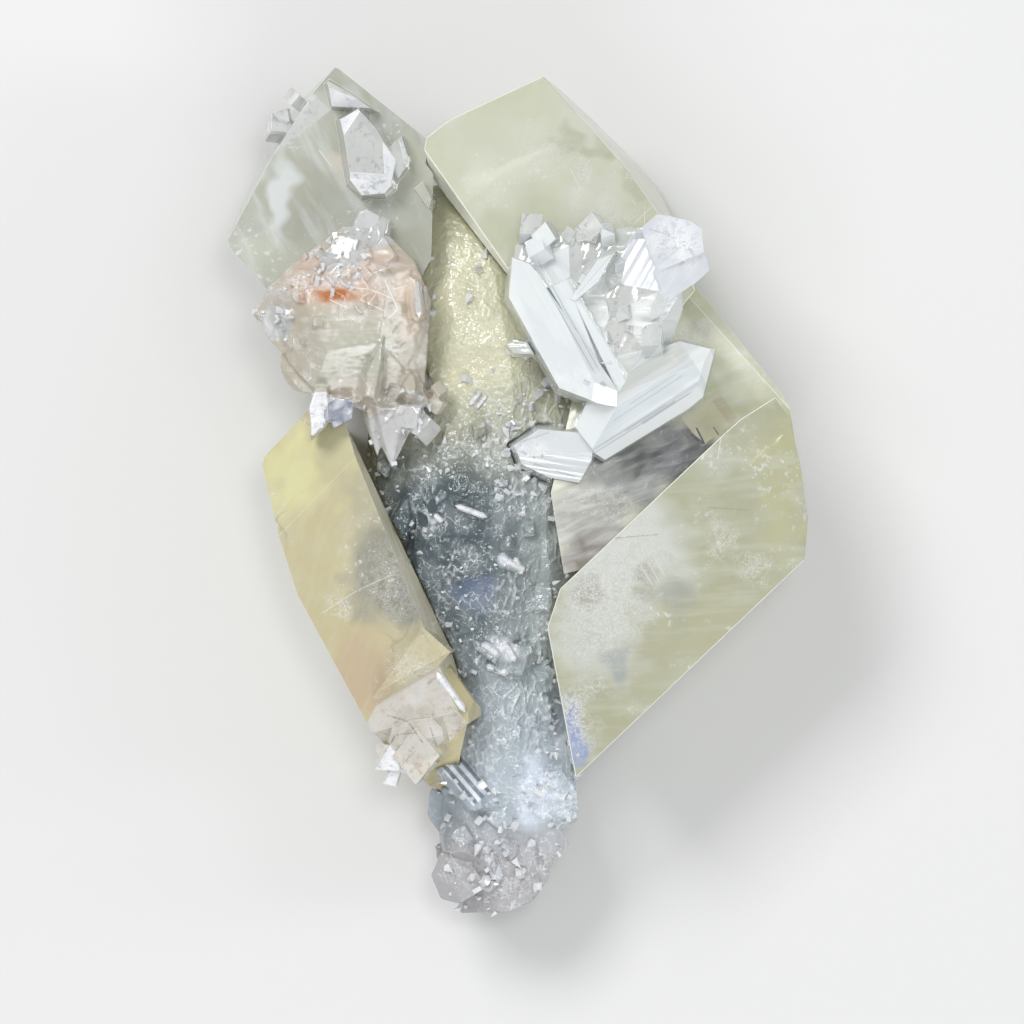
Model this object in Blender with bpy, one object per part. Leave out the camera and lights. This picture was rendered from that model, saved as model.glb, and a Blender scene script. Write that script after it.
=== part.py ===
"""Calcite cluster: big pale yellow calcite crystals and white blades, grown on a grey druse spine.

The cluster lies on its back, as it would on a shelf: +Z comes out of its show face, +Y runs to its
crown, and the origin is on the surface under the middle of its outline. Each crystal is a block cut
back by its own face planes, as a real crystal is bounded. Crystals that grow through one another
are joined in one solid. Where a younger piece grew against an older one it is cut by that piece's
planes, moved out by a hair, so the two meet face to face.
"""

import math
import random

import bmesh
import bpy
from mathutils import Euler, Matrix, Vector, noise

# Sizes and places are in millimetres, and turn into metres when a node is placed.
MM = 0.001
GAP = 0.3
SAME_POINT = 0.01
CRUMB = 0.005
BLOCK = 400.0
CLEAVAGE = math.radians(44.6)
UP = Vector((0, 0, 1))

# The surface that the cluster rests on takes the lowest corners off, so that it stands on small feet.
REST = (Vector((0, 0, 0)), Vector((0, 0, -1)))


def level(plane, x, y):
    """Height of a front or back plane, given as (x, y, z, slope along x, slope along y)."""
    x0, y0, z0, slope_x, slope_y = plane
    return z0 + slope_x * (x - x0) + slope_y * (y - y0)


def tablet(outline, front, back, bevels=()):
    """Faces of a tabular crystal. outline runs anticlockwise as (x, y, lean), and each side leans
    in towards the back by its lean in degrees, or towards the front where that is negative."""
    faces = [
        (Vector(front[:3]), Vector((-front[3], -front[4], 1))),
        (Vector(back[:3]), Vector((back[3], back[4], -1))),
        REST,
    ]
    for (x0, y0, lean), (x1, y1, _) in zip(outline, outline[1:] + outline[:1]):
        x, y = (x0 + x1) / 2, (y0 + y1) / 2
        rim = level(front if lean >= 0 else back, x, y)
        outward = Vector((y1 - y0, x0 - x1, 0)).normalized()
        slant = math.radians(lean)
        faces.append((Vector((x, y, rim)), outward * math.cos(slant) - UP * math.sin(slant)))
    faces += [(Vector(point), Vector(normal)) for point, normal in bevels]
    return faces


def blade(start, end, width, face, thickness, roll=0, start_tip=(40, 40), end_tip=(40, 40)):
    """Faces of a bladed prism from tip to tip. face is the width of its two broad faces, and each
    tip is a point between two edges that leave the long axis by the angles given, in degrees."""
    start, end = Vector(start), Vector(end)
    length = (end - start).length
    along = (end - start).normalized()
    across = UP.cross(along).normalized()
    turn = Matrix((along, across, along.cross(across))).transposed().to_4x4()
    place = Matrix.Translation((start + end) / 2) @ turn @ Matrix.Rotation(math.radians(roll), 4, "X")
    local = [((0, 0, side * thickness / 2), (0, 0, side)) for side in (1, -1)]
    rim = Vector((0, thickness, width - face)).normalized()
    for y in (1, -1):
        for z in (1, -1):
            local.append(((0, y * width / 2, 0), (0, y * rim.y, z * rim.z)))
    for way, (left, right) in ((-1, start_tip), (1, end_tip)):
        for side, angle in ((1, left), (-1, right)):
            slant = math.radians(angle)
            local.append(((way * length / 2, 0, 0), (way * math.sin(slant), side * math.cos(slant), 0)))
    bearing = place.to_3x3()
    return [(place @ Vector(point), bearing @ Vector(normal)) for point, normal in local]


def chip(points, front, depth, lean=-6, bevels=()):
    """Faces of a small crystal with one lean for every side, depth thick under its front plane."""
    x, y, z = front[:3]
    return tablet([(*point, lean) for point in points], front, (x, y, z - depth, 0, 0), bevels)


def top_of(faces, x, y):
    """Height of a crystal's upper side over the point (x, y)."""
    heights = []
    for point, normal in faces:
        if normal.z > 0.01:
            heights.append(point.z - ((x - point.x) * normal.x + (y - point.y) * normal.y) / normal.z)
    return min(heights)


def rhomb(centre, size, turn, stretch=1.0):
    """Faces of calcite's cleavage rhombohedron, size across its faces, turned by Euler degrees.
    stretch draws it out along its own axis."""
    bearing = Euler([math.radians(angle) for angle in turn]).to_matrix()
    faces = []
    for side in (1, -1):
        for third in range(3):
            around = math.tau * third / 3
            lean = Vector((math.cos(around), math.sin(around), 0)) * math.sin(CLEAVAGE)
            normal = side * (lean + UP * math.cos(CLEAVAGE) / stretch)
            normal = bearing @ normal.normalized()
            faces.append((Vector(centre) + normal * size / 2, normal))
    return faces


def dogtooth(base, tip, radius, sides=6):
    """Faces of a scalenohedron: steep faces that meet in a point, and blunt ones at its foot."""
    base, tip = Vector(base), Vector(tip)
    along = (tip - base).normalized()
    bearing = along.to_track_quat("Z", "X").to_matrix()
    length = (tip - base).length
    faces = [(base - along * radius, -along)]
    for side in range(sides):
        # Pairs of faces share a ridge, so that every other edge of the tooth is blunter.
        around = math.tau * (side + (0.12 if side % 2 else -0.12)) / sides
        out = bearing @ Vector((math.cos(around), math.sin(around), radius / length))
        foot = bearing @ Vector((math.cos(around), math.sin(around), -1))
        faces.append((tip, out))
        faces.append((base + bearing @ Vector((math.cos(around), math.sin(around), 0)) * radius, foot))
    return faces


def crystal(name, faces, grow=0.0):
    """A block cut back by face planes. grow moves every plane out by that much."""
    bm = bmesh.new()
    bmesh.ops.create_cube(bm, size=BLOCK)
    for point, normal in faces:
        normal = normal.normalized()
        bmesh.ops.bisect_plane(
            bm,
            geom=bm.verts[:] + bm.edges[:] + bm.faces[:],
            plane_co=point + normal * grow,
            plane_no=normal,
            clear_outer=True,
        )
        bmesh.ops.holes_fill(bm, edges=bm.edges[:])
    bmesh.ops.remove_doubles(bm, verts=bm.verts[:], dist=SAME_POINT)
    bmesh.ops.recalc_face_normals(bm, faces=bm.faces[:])
    mesh = bpy.data.meshes.new(name)
    bm.to_mesh(mesh)
    bm.free()
    return bpy.data.objects.new(name, mesh)


def combine(body, operation, tool):
    """Joins tool to body, or cuts it out of body, and leaves body holding the result."""
    cutters.objects.link(tool)
    boolean = body.modifiers.new(operation, "BOOLEAN")
    boolean.operation = operation
    boolean.solver = "EXACT"
    boolean.object = tool
    bpy.context.view_layer.update()
    graph = bpy.context.evaluated_depsgraph_get()
    result = bpy.data.meshes.new_from_object(body.evaluated_get(graph))
    body.modifiers.clear()
    body.data = result
    bpy.data.objects.remove(tool)


def keep_largest(mesh):
    """Drops the loose chips that a cut leaves, so that the node is one closed body."""
    bm = bmesh.new()
    bm.from_mesh(mesh)
    bmesh.ops.remove_doubles(bm, verts=bm.verts[:], dist=CRUMB)
    bmesh.ops.dissolve_degenerate(bm, edges=bm.edges[:], dist=CRUMB)
    bodies, left = [], set(bm.verts)
    while left:
        found, front = set(), [left.pop()]
        while front:
            vert = front.pop()
            found.add(vert)
            near = {edge.other_vert(vert) for edge in vert.link_edges} & left
            left -= near
            front += near
        bodies.append(found)
    bodies.sort(key=len)
    bmesh.ops.delete(bm, geom=[vert for body in bodies[:-1] for vert in body])
    bmesh.ops.triangulate(bm, faces=bm.faces[:])
    bm.to_mesh(mesh)
    bm.free()


def material(name, colour, roughness, transmission=0.0):
    """A Principled finish. Calcite bends light more than glass does."""
    finish = bpy.data.materials.new(name)
    finish.use_nodes = True
    shader = finish.node_tree.nodes["Principled BSDF"]
    shader.inputs["Base Color"].default_value = (*colour, 1)
    shader.inputs["Roughness"].default_value = roughness
    shader.inputs["Metallic"].default_value = 0.0
    shader.inputs["Transmission Weight"].default_value = transmission
    shader.inputs["IOR"].default_value = 1.6
    finish.diffuse_color = (*colour, 1)
    return finish


def grow_node(name, core, branches, older, finish):
    """One node: core with every branch joined to it, cut back by the planes of the older pieces."""
    pieces.objects.link(core)
    core.name = name
    for number, faces in enumerate(branches):
        combine(core, "UNION", crystal(f"{name}_branch_{number}", faces))
    for number, faces in enumerate(older):
        combine(core, "DIFFERENCE", crystal(f"{name}_seat_{number}", faces, GAP))
    keep_largest(core.data)
    low = [min(vert.co[axis] for vert in core.data.vertices) for axis in range(3)]
    high = [max(vert.co[axis] for vert in core.data.vertices) for axis in range(3)]
    centre = (Vector(low) + Vector(high)) / 2
    core.data.transform(Matrix.Scale(MM, 4) @ Matrix.Translation(-centre))
    core.data.materials.clear()
    core.data.materials.append(finish)
    core.data.shade_flat()
    core.location = centre * MM
    core.parent = cluster
    return core


def druse(count, spots, least, most):
    """Small rhombs, each at the next of spots, turned any way and sized between least and most."""
    found = []
    for _ in range(count):
        turn = [dice.uniform(0, 90) for _ in range(3)]
        found.append(rhomb(next(spots), dice.uniform(least, most), turn, dice.uniform(1.0, 1.4)))
    return found


def spots_on(faces, centre, spread):
    """Places on the upper side of a crystal, spread about centre."""
    while True:
        x = dice.gauss(centre[0], spread[0])
        y = dice.gauss(centre[1], spread[1])
        yield x, y, top_of(faces, x, y)


def spots_along(line, first, last, upper):
    """Places on the spine's skin between two numbers along its line, on its upper or lower side."""
    while True:
        number = dice.uniform(first, last)
        start, end = line[int(number)], line[int(number) + 1]
        mix = number - int(number)
        x, y, z, half_width = [a + (b - a) * mix for a, b in zip(start, end)]
        around = dice.uniform(0.12, 0.88) * math.pi * (1 if upper else -1)
        yield x + half_width * math.cos(around), y, z + half_width * SPINE_FLATNESS * math.sin(around)


dice = random.Random(7)

# The five big calcite crystals: outline corners with the lean of the side that follows, and the
# front and back planes.
UPPER_RIGHT = tablet(
    [
        (-14.5, 50.5, 0), (-4.0, 36.0, 4), (6.0, 23.5, 6), (17.0, 19.0, 8), (27.5, 31.0, 8),
        (26.8, 40.4, -7), (24.6, 45.4, -8), (19.0, 53.2, -8), (13.6, 59.2, 8), (8.4, 62.9, 12),
        (4.8, 64.4, 18), (-11.6, 56.0, 14), (-14.0, 54.0, 12),
    ],
    front=(5, 45, 31, -0.05, -0.10),
    back=(8, 50, 0.3, -0.10, -0.16),
    bevels=[
        ((-9.2, 43.3, 26.0), (-0.80, -0.55, 0.17)),
        ((20.0, 45.0, 30.0), (0.30, 0.10, 0.95)),
    ],
)
LOWER_RIGHT = tablet(
    [
        (6.4, -14.3, 6), (4.5, -20.0, 4), (8.7, -43.2, 20), (43.6, -10.0, 9), (44.4, -3.5, 7),
        (43.1, 6.7, 8), (41.6, 12.8, 10), (39.4, 15.7, 8), (33.9, 11.7, 5),
    ],
    front=(20, -1.3, 33, -0.104, 0.108),
    back=(25, -10, 0, 0, 0),
    bevels=[((38.0, 4.0, 30.6), (0.42, 0.12, 0.90))],
)
LOWER_LEFT = tablet(
    [
        (-39.9, 4.3, 14), (-33.3, -16.1, 16), (-21.0, -38.2, 12), (-16.6, -45.4, 8),
        (-9.5, -49.0, 4), (-7.3, -33.1, 3), (-9.6, -24.5, 2), (-13.6, -16.0, 2),
        (-28.9, 16.5, 8), (-31.0, 15.0, 12), (-39.6, 6.2, 14),
    ],
    front=(-15, -16, 30, 0.13, 0.03),
    back=(-26, -8, 0.4, 0.14, 0.05),
    bevels=[
        ((-14.2, -16.0, 24.0), (0.88, 0.36, 0.27)),
        ((-33.0, 2.0, 27.0), (-0.35, 0.20, 0.91)),
        ((-15.0, -40.0, 23.0), (0.10, -0.75, 0.65)),
    ],
)
UPPER_LEFT = tablet(
    [
        (-44.4, 37.6, 10), (-30.5, 23.1, 5), (-19.0, 24.0, 5), (-13.2, 36.0, 4), (-12.8, 53.1, 12),
        (-26.9, 64.8, 10), (-28.6, 65.4, 8), (-31.7, 64.0, -7), (-34.4, 60.9, -8),
        (-39.8, 52.3, -8), (-42.9, 46.4, 6), (-44.6, 40.8, 8),
    ],
    front=(-28, 45, 27, 0.08, -0.03),
    back=(-28, 45, 7, -0.12, 0.10),
    bevels=[((-40.0, 46.0, 25.5), (-0.30, 0.05, 0.95))],
)
RIGHT = tablet(
    [
        (5.0, 0.0, 4), (7.0, -12.0, 6), (30.0, -6.0, 8), (42.4, 8.2, 10), (41.6, 13.5, 10),
        (39.5, 16.7, 14), (27.2, 32.1, 8), (20.0, 33.0, 4), (10.0, 22.0, 4),
    ],
    front=(25, 10, 27, -0.10, -0.05),
    back=(25, 10, 6, 0.06, 0.10),
    bevels=[((36.0, 20.0, 25.2), (0.35, 0.28, 0.89))],
)

# Small clear crystals on the face of the upper left crystal, and the chips on its rim.
UPPER_LEFT_BRANCHES = [
    chip(
        [(-28.2, 57.4), (-26.6, 47.0), (-24.1, 44.4), (-19.8, 44.6), (-18.0, 46.1), (-17.4, 51.0),
         (-20.6, 56.4), (-24.0, 60.0)],
        (-22.5, 52, 33.2, 0.04, -0.05), 8, -10,
        [
            ((-25.0, 57.2, 32.6), (-0.42, 0.30, 0.86)),
            ((-20.0, 51.0, 33.0), (0.72, 0.08, 0.69)),
            ((-22.8, 47.6, 32.6), (-0.08, -0.62, 0.78)),
        ],
    ),
    chip(
        [(-30.0, 62.7), (-28.8, 58.4), (-22.4, 57.6), (-20.0, 58.0), (-25.1, 61.6), (-28.9, 63.8)],
        (-26.5, 60.5, 31.4, 0.05, -0.06), 7, -8, [((-27.0, 60.8, 31.2), (-0.30, -0.60, 0.74))],
    ),
    chip(
        [(-20.8, 52.6), (-18.4, 46.4), (-16.3, 49.4), (-16.1, 51.5), (-17.3, 55.3)],
        (-18, 51, 31.2, -0.15, 0.05), 7, -6, [((-17.4, 51.6, 31.0), (0.80, 0.16, 0.58))],
    ),
    chip([(-16.6, 46.6), (-13.4, 42.2), (-12.4, 45.0), (-14.2, 48.4)], (-14.6, 45, 29.6, 0.2, 0.1), 6),
    rhomb((-37.0, 56.2, 22.0), 2.8, (30, 60, 12)),
    rhomb((-36.0, 57.8, 22.0), 2.0, (52, 20, 42)),
    rhomb((-34.2, 60.6, 22.5), 2.0, (12, 40, 55)),
]

# The lower left crystal carries a step and a knot of clear crystals at its foot.
LOWER_LEFT_BRANCHES = [
    chip(
        [(-14.4, -19.6), (-22.4, -31.0), (-21.5, -32.2), (-12.2, -26.6), (-9.6, -23.9)],
        (-14, -24, 31.6, 0.05, 0.10), 6, -4, [((-16.0, -27.2, 31.0), (0.30, -0.66, 0.69))],
    ),
    blade((-13.0, -25.2, 26.0), (-6.6, -34.4, 26.6), 3.4, 1.6, 5.0, 25, (30, 60), (35, 55)),
    chip(
        [(-21.0, -37.8), (-18.2, -42.2), (-12.6, -40.4), (-9.8, -38.0), (-9.9, -34.8), (-12.6, -32.2),
         (-16.8, -32.8), (-20.2, -34.2)],
        (-15, -36, 30.6, 0.03, 0.08), 9, -10,
        [((-18.6, -36.0, 29.6), (-0.56, 0.10, 0.82)), ((-14.0, -38.6, 29.4), (0.10, -0.60, 0.79))],
    ),
    rhomb((-14.8, -39.4, 28.2), 5.4, (48, 16, 70)),
    rhomb((-18.4, -40.4, 27.0), 4.0, (15, 52, 95)),
    chip([(-20.8, -44.3), (-18.4, -44.8), (-17.6, -42.0), (-18.7, -40.0)], (-19, -42, 28.4, -0.2, 0.1), 3),
]

# The peach coloured crystals: one broad domed crystal and the smaller ones that grow through it.
PEACH = tablet(
    [
        (-38.5, 31.6, 8), (-39.0, 27.0, 8), (-35.5, 19.9, 6), (-31.3, 15.6, 8), (-25.3, 12.3, 8),
        (-20.0, 11.0, 8), (-13.6, 16.5, 6), (-12.6, 29.3, 5), (-15.4, 35.6, 5), (-19.4, 39.6, 6),
        (-26.7, 41.2, 8), (-34.7, 35.4, 8),
    ],
    front=(-26, 27, 34.0, 0.06, -0.05),
    back=(-26, 27, 7, 0, 0),
    bevels=[
        ((-32.5, 34.0, 31.0), (-0.42, 0.50, 0.76)),
        ((-35.0, 24.0, 30.0), (-0.60, -0.22, 0.77)),
        ((-24.0, 15.5, 30.0), (0.05, -0.52, 0.85)),
        ((-15.8, 24.0, 31.0), (0.56, -0.04, 0.83)),
        ((-20.5, 38.5, 31.0), (0.35, 0.50, 0.79)),
    ],
)
PEACH_BRANCHES = [
    chip(
        [(-26.1, 41.2), (-25.8, 38.2), (-23.6, 36.0), (-19.3, 38.0), (-18.6, 42.4), (-22.8, 44.6),
         (-24.9, 43.9)],
        (-22, 41, 31.6, 0.04, -0.06), 9, -8, [((-20.4, 41.2, 31.0), (0.66, 0.10, 0.74))],
    ),
    chip(
        [(-39.9, 27.7), (-38.1, 24.0), (-35.8, 21.3), (-33.4, 22.8), (-35.6, 28.9), (-38.0, 31.0)],
        (-37, 26, 29.4, 0.20, 0.05), 9, 6, [((-35.6, 25.6, 29.4), (0.50, 0.30, 0.81))],
    ),
    blade((-35.6, 21.4, 25.0), (-30.6, 15.2, 26.0), 5.0, 2.6, 5.0, 8, (45, 45), (50, 40)),
    chip(
        [(-20.0, 16.6), (-17.6, 12.4), (-13.6, 13.6), (-13.2, 16.4), (-13.8, 19.4), (-17.2, 20.8)],
        (-16.6, 16.6, 33.6, 0.05, 0.06), 9, -14, [((-16.0, 14.6, 32.8), (0.10, -0.55, 0.83))],
    ),
    chip(
        [(-24.8, 13.6), (-20.6, 12.6), (-19.0, 20.0), (-18.6, 26.4), (-21.6, 24.8), (-24.4, 19.0)],
        (-21.6, 19, 34.8, 0.06, -0.02), 6, -16, [((-20.4, 19.6, 34.4), (0.52, -0.16, 0.84))],
    ),
    dogtooth((-19.4, 12.2, 27.0), (-19.1, 3.8, 29.4), 3.5),
    dogtooth((-21.6, 12.6, 27.0), (-21.4, 5.6, 27.6), 2.2),
    chip(
        [(-31.9, 13.2), (-31.5, 8.0), (-28.4, 11.1), (-28.6, 16.6), (-30.8, 16.6)],
        (-30, 12, 32.4, -0.20, 0.10), 4.5, -4,
    ),
    chip(
        [(-28.6, 15.0), (-28.2, 9.8), (-25.2, 11.4), (-24.8, 14.2)],
        (-27, 12, 31.2, 0.30, 0.10), 4, 4,
    ),
    rhomb((-14.6, 10.4, 27.4), 3.6, (12, 40, 55), 1.2),
    rhomb((-16.6, 11.6, 28.4), 3.4, (48, 22, 15), 1.2),
    rhomb((-26.0, 36.6, 31.6), 4.0, (30, 14, 5), 1.3),
    rhomb((-23.6, 35.4, 32.6), 3.0, (55, 25, 40), 1.2),
    rhomb((-28.6, 35.2, 31.8), 2.6, (65, 12, 10)),
    rhomb((-32.0, 32.2, 31.2), 3.2, (10, 60, 80)),
    rhomb((-20.2, 36.2, 31.6), 3.2, (42, 30, 62)),
    blade((-15.9, 33.0, 31.2), (-14.9, 26.2, 31.2), 2.4, 1.4, 2.8, 20, (60, 50), (60, 50)),
    *druse(14, spots_on(PEACH, (-27, 34), (3.6, 2.4)), 1.0, 2.2),
    *druse(12, spots_on(PEACH, (-19, 14), (3.4, 2.4)), 1.2, 2.4),
    *druse(8, spots_on(PEACH, (-35, 25), (1.8, 3.4)), 1.0, 1.9),
]

# The white blades stand on one broad grey-white crystal.
BLADE_BED = tablet(
    [
        (-1.0, 33.0, 4), (4.0, 20.0, 4), (12.0, 14.0, 4), (21.5, 17.5, 4), (25.0, 28.0, 4),
        (24.4, 38.0, 6), (20.0, 40.4, 6), (4.0, 39.6, 6), (-0.4, 38.6, 6),
    ],
    front=(14, 28, 34.6, 0.03, -0.02),
    back=(14, 28, 22, 0, 0),
    bevels=[((4.0, 37.0, 33.6), (-0.22, 0.36, 0.91)), ((22.0, 24.0, 34.0), (0.45, -0.30, 0.84))],
)
BLADES = [
    chip(
        [(-2.1, 29.4), (5.6, 15.3), (11.7, 12.9), (15.4, 12.5), (15.6, 15.9), (2.3, 35.2), (-1.5, 36.6)],
        (5, 25, 38.6, 0.06, -0.03), 9, -5,
        [((7.0, 26.4, 38.4), (0.66, 0.36, 0.66)), ((11.8, 14.6, 38.8), (0.62, -0.05, 0.78))],
    ),
    chip(
        [(3.6, 31.4), (12.8, 16.0), (17.4, 15.6), (15.2, 21.0), (8.0, 33.4)],
        (10, 25, 36.4, -0.10, 0.04), 5, -8, [((12.0, 25.0, 36.0), (0.60, 0.30, 0.74))],
    ),
    chip(
        [(11.3, 5.7), (13.2, 4.7), (26.1, 12.6), (28.4, 14.5), (30.4, 22.2), (24.4, 23.6), (12.0, 19.0),
         (8.0, 10.0)],
        (20, 15, 36.4, 0.05, -0.02), 9, -4,
        [
            ((18.7, 11.3, 36.1), (0.38, -0.63, 0.68)),
            ((27.2, 16.8, 36.6), (0.82, -0.24, 0.52)),
            ((20.6, 17.3, 36.3), (-0.20, 0.44, 0.87)),
        ],
    ),
    chip(
        [(-1.7, 7.7), (-0.1, 4.0), (4.5, 1.9), (9.6, 1.0), (12.0, 4.8), (13.0, 10.0), (3.0, 10.8)],
        (6, 7, 33.0, 0.10, 0.06), 9, -6,
        [((5.0, 5.6, 32.6), (-0.05, -0.55, 0.83)), ((0.6, 8.4, 32.0), (-0.50, 0.34, 0.80))],
    ),
    chip([(7.3, 29.2), (8.6, 28.6), (12.4, 31.7), (15.4, 37.1), (11.7, 35.6)], (11, 33, 37.0, 0.1, -0.1), 4),
    chip(
        [(18.3, 40.2), (19.6, 36.4), (21.3, 33.6), (28.0, 36.4), (27.6, 39.9), (25.7, 41.1), (20.8, 42.2)],
        (23, 38, 38.4, -0.04, 0.16), 11, 6, [((20.4, 38.6, 38.0), (-0.52, 0.10, 0.85))],
    ),
    chip(
        [(20.4, 33.8), (22.4, 28.9), (27.2, 32.2), (29.0, 33.9), (27.9, 37.0), (22.0, 36.6)],
        (24, 33.6, 37.0, -0.22, 0.42), 10, 8,
    ),
    chip(
        [(20.1, 26.2), (22.1, 27.3), (23.0, 31.0), (21.2, 30.7), (20.2, 28.5)],
        (21, 28, 35.4, 0.2, 0), 4, 4,
    ),
    chip([(-2.1, 22.6), (-0.8, 20.9), (3.1, 20.8), (1.7, 23.3), (-0.8, 23.8)], (0, 22, 33.6, -0.1, 0), 4),
    rhomb((2.0, 40.0, 34.0), 3.0, (24, 38, 10)),
    rhomb((4.2, 39.0, 34.6), 2.8, (50, 12, 64)),
    rhomb((3.2, 36.8, 35.4), 2.6, (10, 24, 33)),
    rhomb((11.6, 40.2, 34.4), 2.8, (30, 22, 60)),
    rhomb((13.4, 39.2, 35.0), 2.2, (12, 50, 20)),
    rhomb((20.4, 22.9, 35.0), 2.8, (18, 30, 12)),
    *druse(10, spots_on(BLADE_BED, (16, 27), (3.0, 4.6)), 1.0, 2.2),
    *druse(8, spots_on(BLADE_BED, (10, 39), (5.0, 0.8)), 1.0, 2.0),
]

# The spine: centre line with half its width, crown to foot, and how flat it is.
SPINE_LINE = [
    (-10.0, 49.0, 14.5, 5.0), (-8.5, 42.0, 14.5, 12.5), (-6.0, 28.0, 14.2, 16.5),
    (-4.5, 14.0, 14.0, 17.5), (-6.5, 0.0, 13.6, 17.5), (-5.0, -14.0, 13.2, 15.0),
    (-3.0, -28.0, 13.0, 12.4), (-2.2, -40.0, 13.0, 10.4), (-2.6, -50.0, 12.8, 9.6),
    (-3.6, -57.5, 12.5, 8.8), (-4.0, -62.6, 12.2, 5.5),
]
SPINE_FLATNESS = 0.74
SPINE_LUMP = 1.3
SPINE_LUMP_WIDE = 9.0
SPINE_RIPPLE = 0.6
SPINE_RIPPLE_WIDE = 2.2
SPINE_RIPPLE_LONG = 3.6

# Small crystals on the spine, most of them round its foot.
SPINE_BRANCHES = [
    chip(
        [(1.6, -43.4), (1.2, -48.0), (6.0, -51.9), (9.2, -50.6), (9.4, -46.8), (9.0, -45.4), (6.6, -42.2)],
        (5, -47, 19.0, -0.12, 0.10), 11, 6, [((7.0, -47.0, 18.6), (0.45, -0.10, 0.89))],
    ),
    chip([(0.6, -47.6), (4.2, -57.4), (8.0, -53.8), (5.2, -49.6)], (4, -52, 18.4, 0.15, 0.2), 8, 4),
    chip([(-0.4, -56.6), (2.2, -63.2), (4.8, -59.4), (5.4, -55.6)], (3, -58, 16.4, -0.2, 0.2), 8, 6),
    chip(
        [(-9.4, -65.2), (-1.6, -64.6), (2.4, -62.8), (1.4, -57.4), (-5.0, -55.2), (-9.2, -60.4)],
        (-4, -61, 17.0, 0.02, 0.16), 10, 8, [((-7.0, -62.6, 15.8), (-0.30, -0.42, 0.86))],
    ),
    chip(
        [(-13.6, -58.8), (-12.0, -62.6), (-9.2, -63.2), (-6.4, -61.6), (-5.6, -59.0), (-8.0, -55.8),
         (-11.8, -55.0)],
        (-9.6, -59, 18.6, 0.05, 0.04), 10, 5,
        [((-11.0, -59.4, 18.0), (-0.48, -0.20, 0.85)), ((-8.0, -57.0, 18.4), (0.22, 0.46, 0.86))],
    ),
    chip([(-14.0, -49.8), (-11.0, -54.0), (-8.6, -48.0), (-13.4, -45.4)], (-11, -49, 15.4, 0.2, 0.1), 8, 6),
    chip([(-4.7, -57.0), (-3.6, -59.7), (-2.7, -57.0), (-3.6, -54.8)], (-3.6, -57, 21.4, -0.2, 0.3), 5),
    chip(
        [(-20.0, -4.2), (-17.4, -8.0), (-15.4, -3.6), (-16.3, 0.9), (-18.2, -0.6)],
        (-18, -3, 26.4, 0.1, 0), 8,
    ),
    blade((-12.8, -39.6, 18.8), (-5.2, -48.2, 20.6), 4.6, 2.8, 3.6, 12, (50, 50), (35, 60)),
    rhomb((3.8, -16.6, 21.2), 3.4, (35, 15, 20)),
    rhomb((-3.0, -23.4, 21.8), 4.4, (22, 40, 66)),
    rhomb((-0.8, -25.6, 21.4), 4.4, (50, 30, 12)),
    rhomb((4.2, -28.0, 20.4), 2.8, (12, 62, 40)),
    blade((-9.7, -1.4, 26.4), (-4.4, -3.6, 26.6), 1.3, 0.8, 1.6, 10, (60, 60), (60, 60)),
    *druse(14, spots_along(SPINE_LINE, 7.0, 9.6, True), 1.6, 3.4),
    *druse(26, spots_along(SPINE_LINE, 2.5, 8.0, True), 0.9, 1.9),
    *druse(16, spots_along(SPINE_LINE, 1.5, 9.4, False), 2.0, 5.0),
]


def spine_core():
    """The druse spine: a tapered tube, flattened, then pushed in and out by lumps and ripples."""
    curve = bpy.data.curves.new("spine_line", "CURVE")
    curve.dimensions = "3D"
    curve.resolution_u = 4
    curve.bevel_depth = 1.0
    curve.bevel_resolution = 5
    curve.use_fill_caps = True
    spline = curve.splines.new("NURBS")
    spline.points.add(len(SPINE_LINE) - 1)
    for point, (x, y, z, half_width) in zip(spline.points, SPINE_LINE):
        point.co = (x, y, z, 1)
        point.radius = half_width
    spline.order_u = 3
    spline.use_endpoint_u = True
    guide = bpy.data.objects.new("spine_line", curve)
    cutters.objects.link(guide)
    bpy.context.view_layer.update()
    mesh = bpy.data.meshes.new_from_object(guide.evaluated_get(bpy.context.evaluated_depsgraph_get()))
    bpy.data.objects.remove(guide)
    bm = bmesh.new()
    bm.from_mesh(mesh)
    bmesh.ops.remove_doubles(bm, verts=bm.verts[:], dist=SAME_POINT)
    bmesh.ops.triangulate(bm, faces=bm.faces[:])
    bm.normal_update()
    middle = sum(z for _, _, z, _ in SPINE_LINE) / len(SPINE_LINE)
    for vert in bm.verts:
        x, y, z = vert.co
        rippled = Vector((x / SPINE_RIPPLE_WIDE, y / SPINE_RIPPLE_LONG, z / SPINE_RIPPLE_WIDE))
        lump = SPINE_LUMP * noise.noise(vert.co / SPINE_LUMP_WIDE)
        ripple = SPINE_RIPPLE * noise.noise(rippled)
        vert.co += vert.normal * (lump + ripple)
        vert.co.z = middle + (vert.co.z - middle) * SPINE_FLATNESS
    bmesh.ops.recalc_face_normals(bm, faces=bm.faces[:])
    bm.to_mesh(mesh)
    bm.free()
    return bpy.data.objects.new("spine_core", mesh)


for item in list(bpy.data.objects):
    bpy.data.objects.remove(item)

pieces = bpy.data.collections.new("calcite_cluster")
cutters = bpy.data.collections.new("cutters")
bpy.context.scene.collection.children.link(pieces)
bpy.context.scene.collection.children.link(cutters)
cluster = bpy.data.objects.new("cluster_frame", None)
pieces.objects.link(cluster)

big_right = [UPPER_RIGHT, LOWER_RIGHT]
upper_left_all = [UPPER_LEFT, *UPPER_LEFT_BRANCHES]
lower_left_all = [LOWER_LEFT, *LOWER_LEFT_BRANCHES]
peach_all = [PEACH, *PEACH_BRANCHES]
blades_all = [BLADE_BED, *BLADES]

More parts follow.
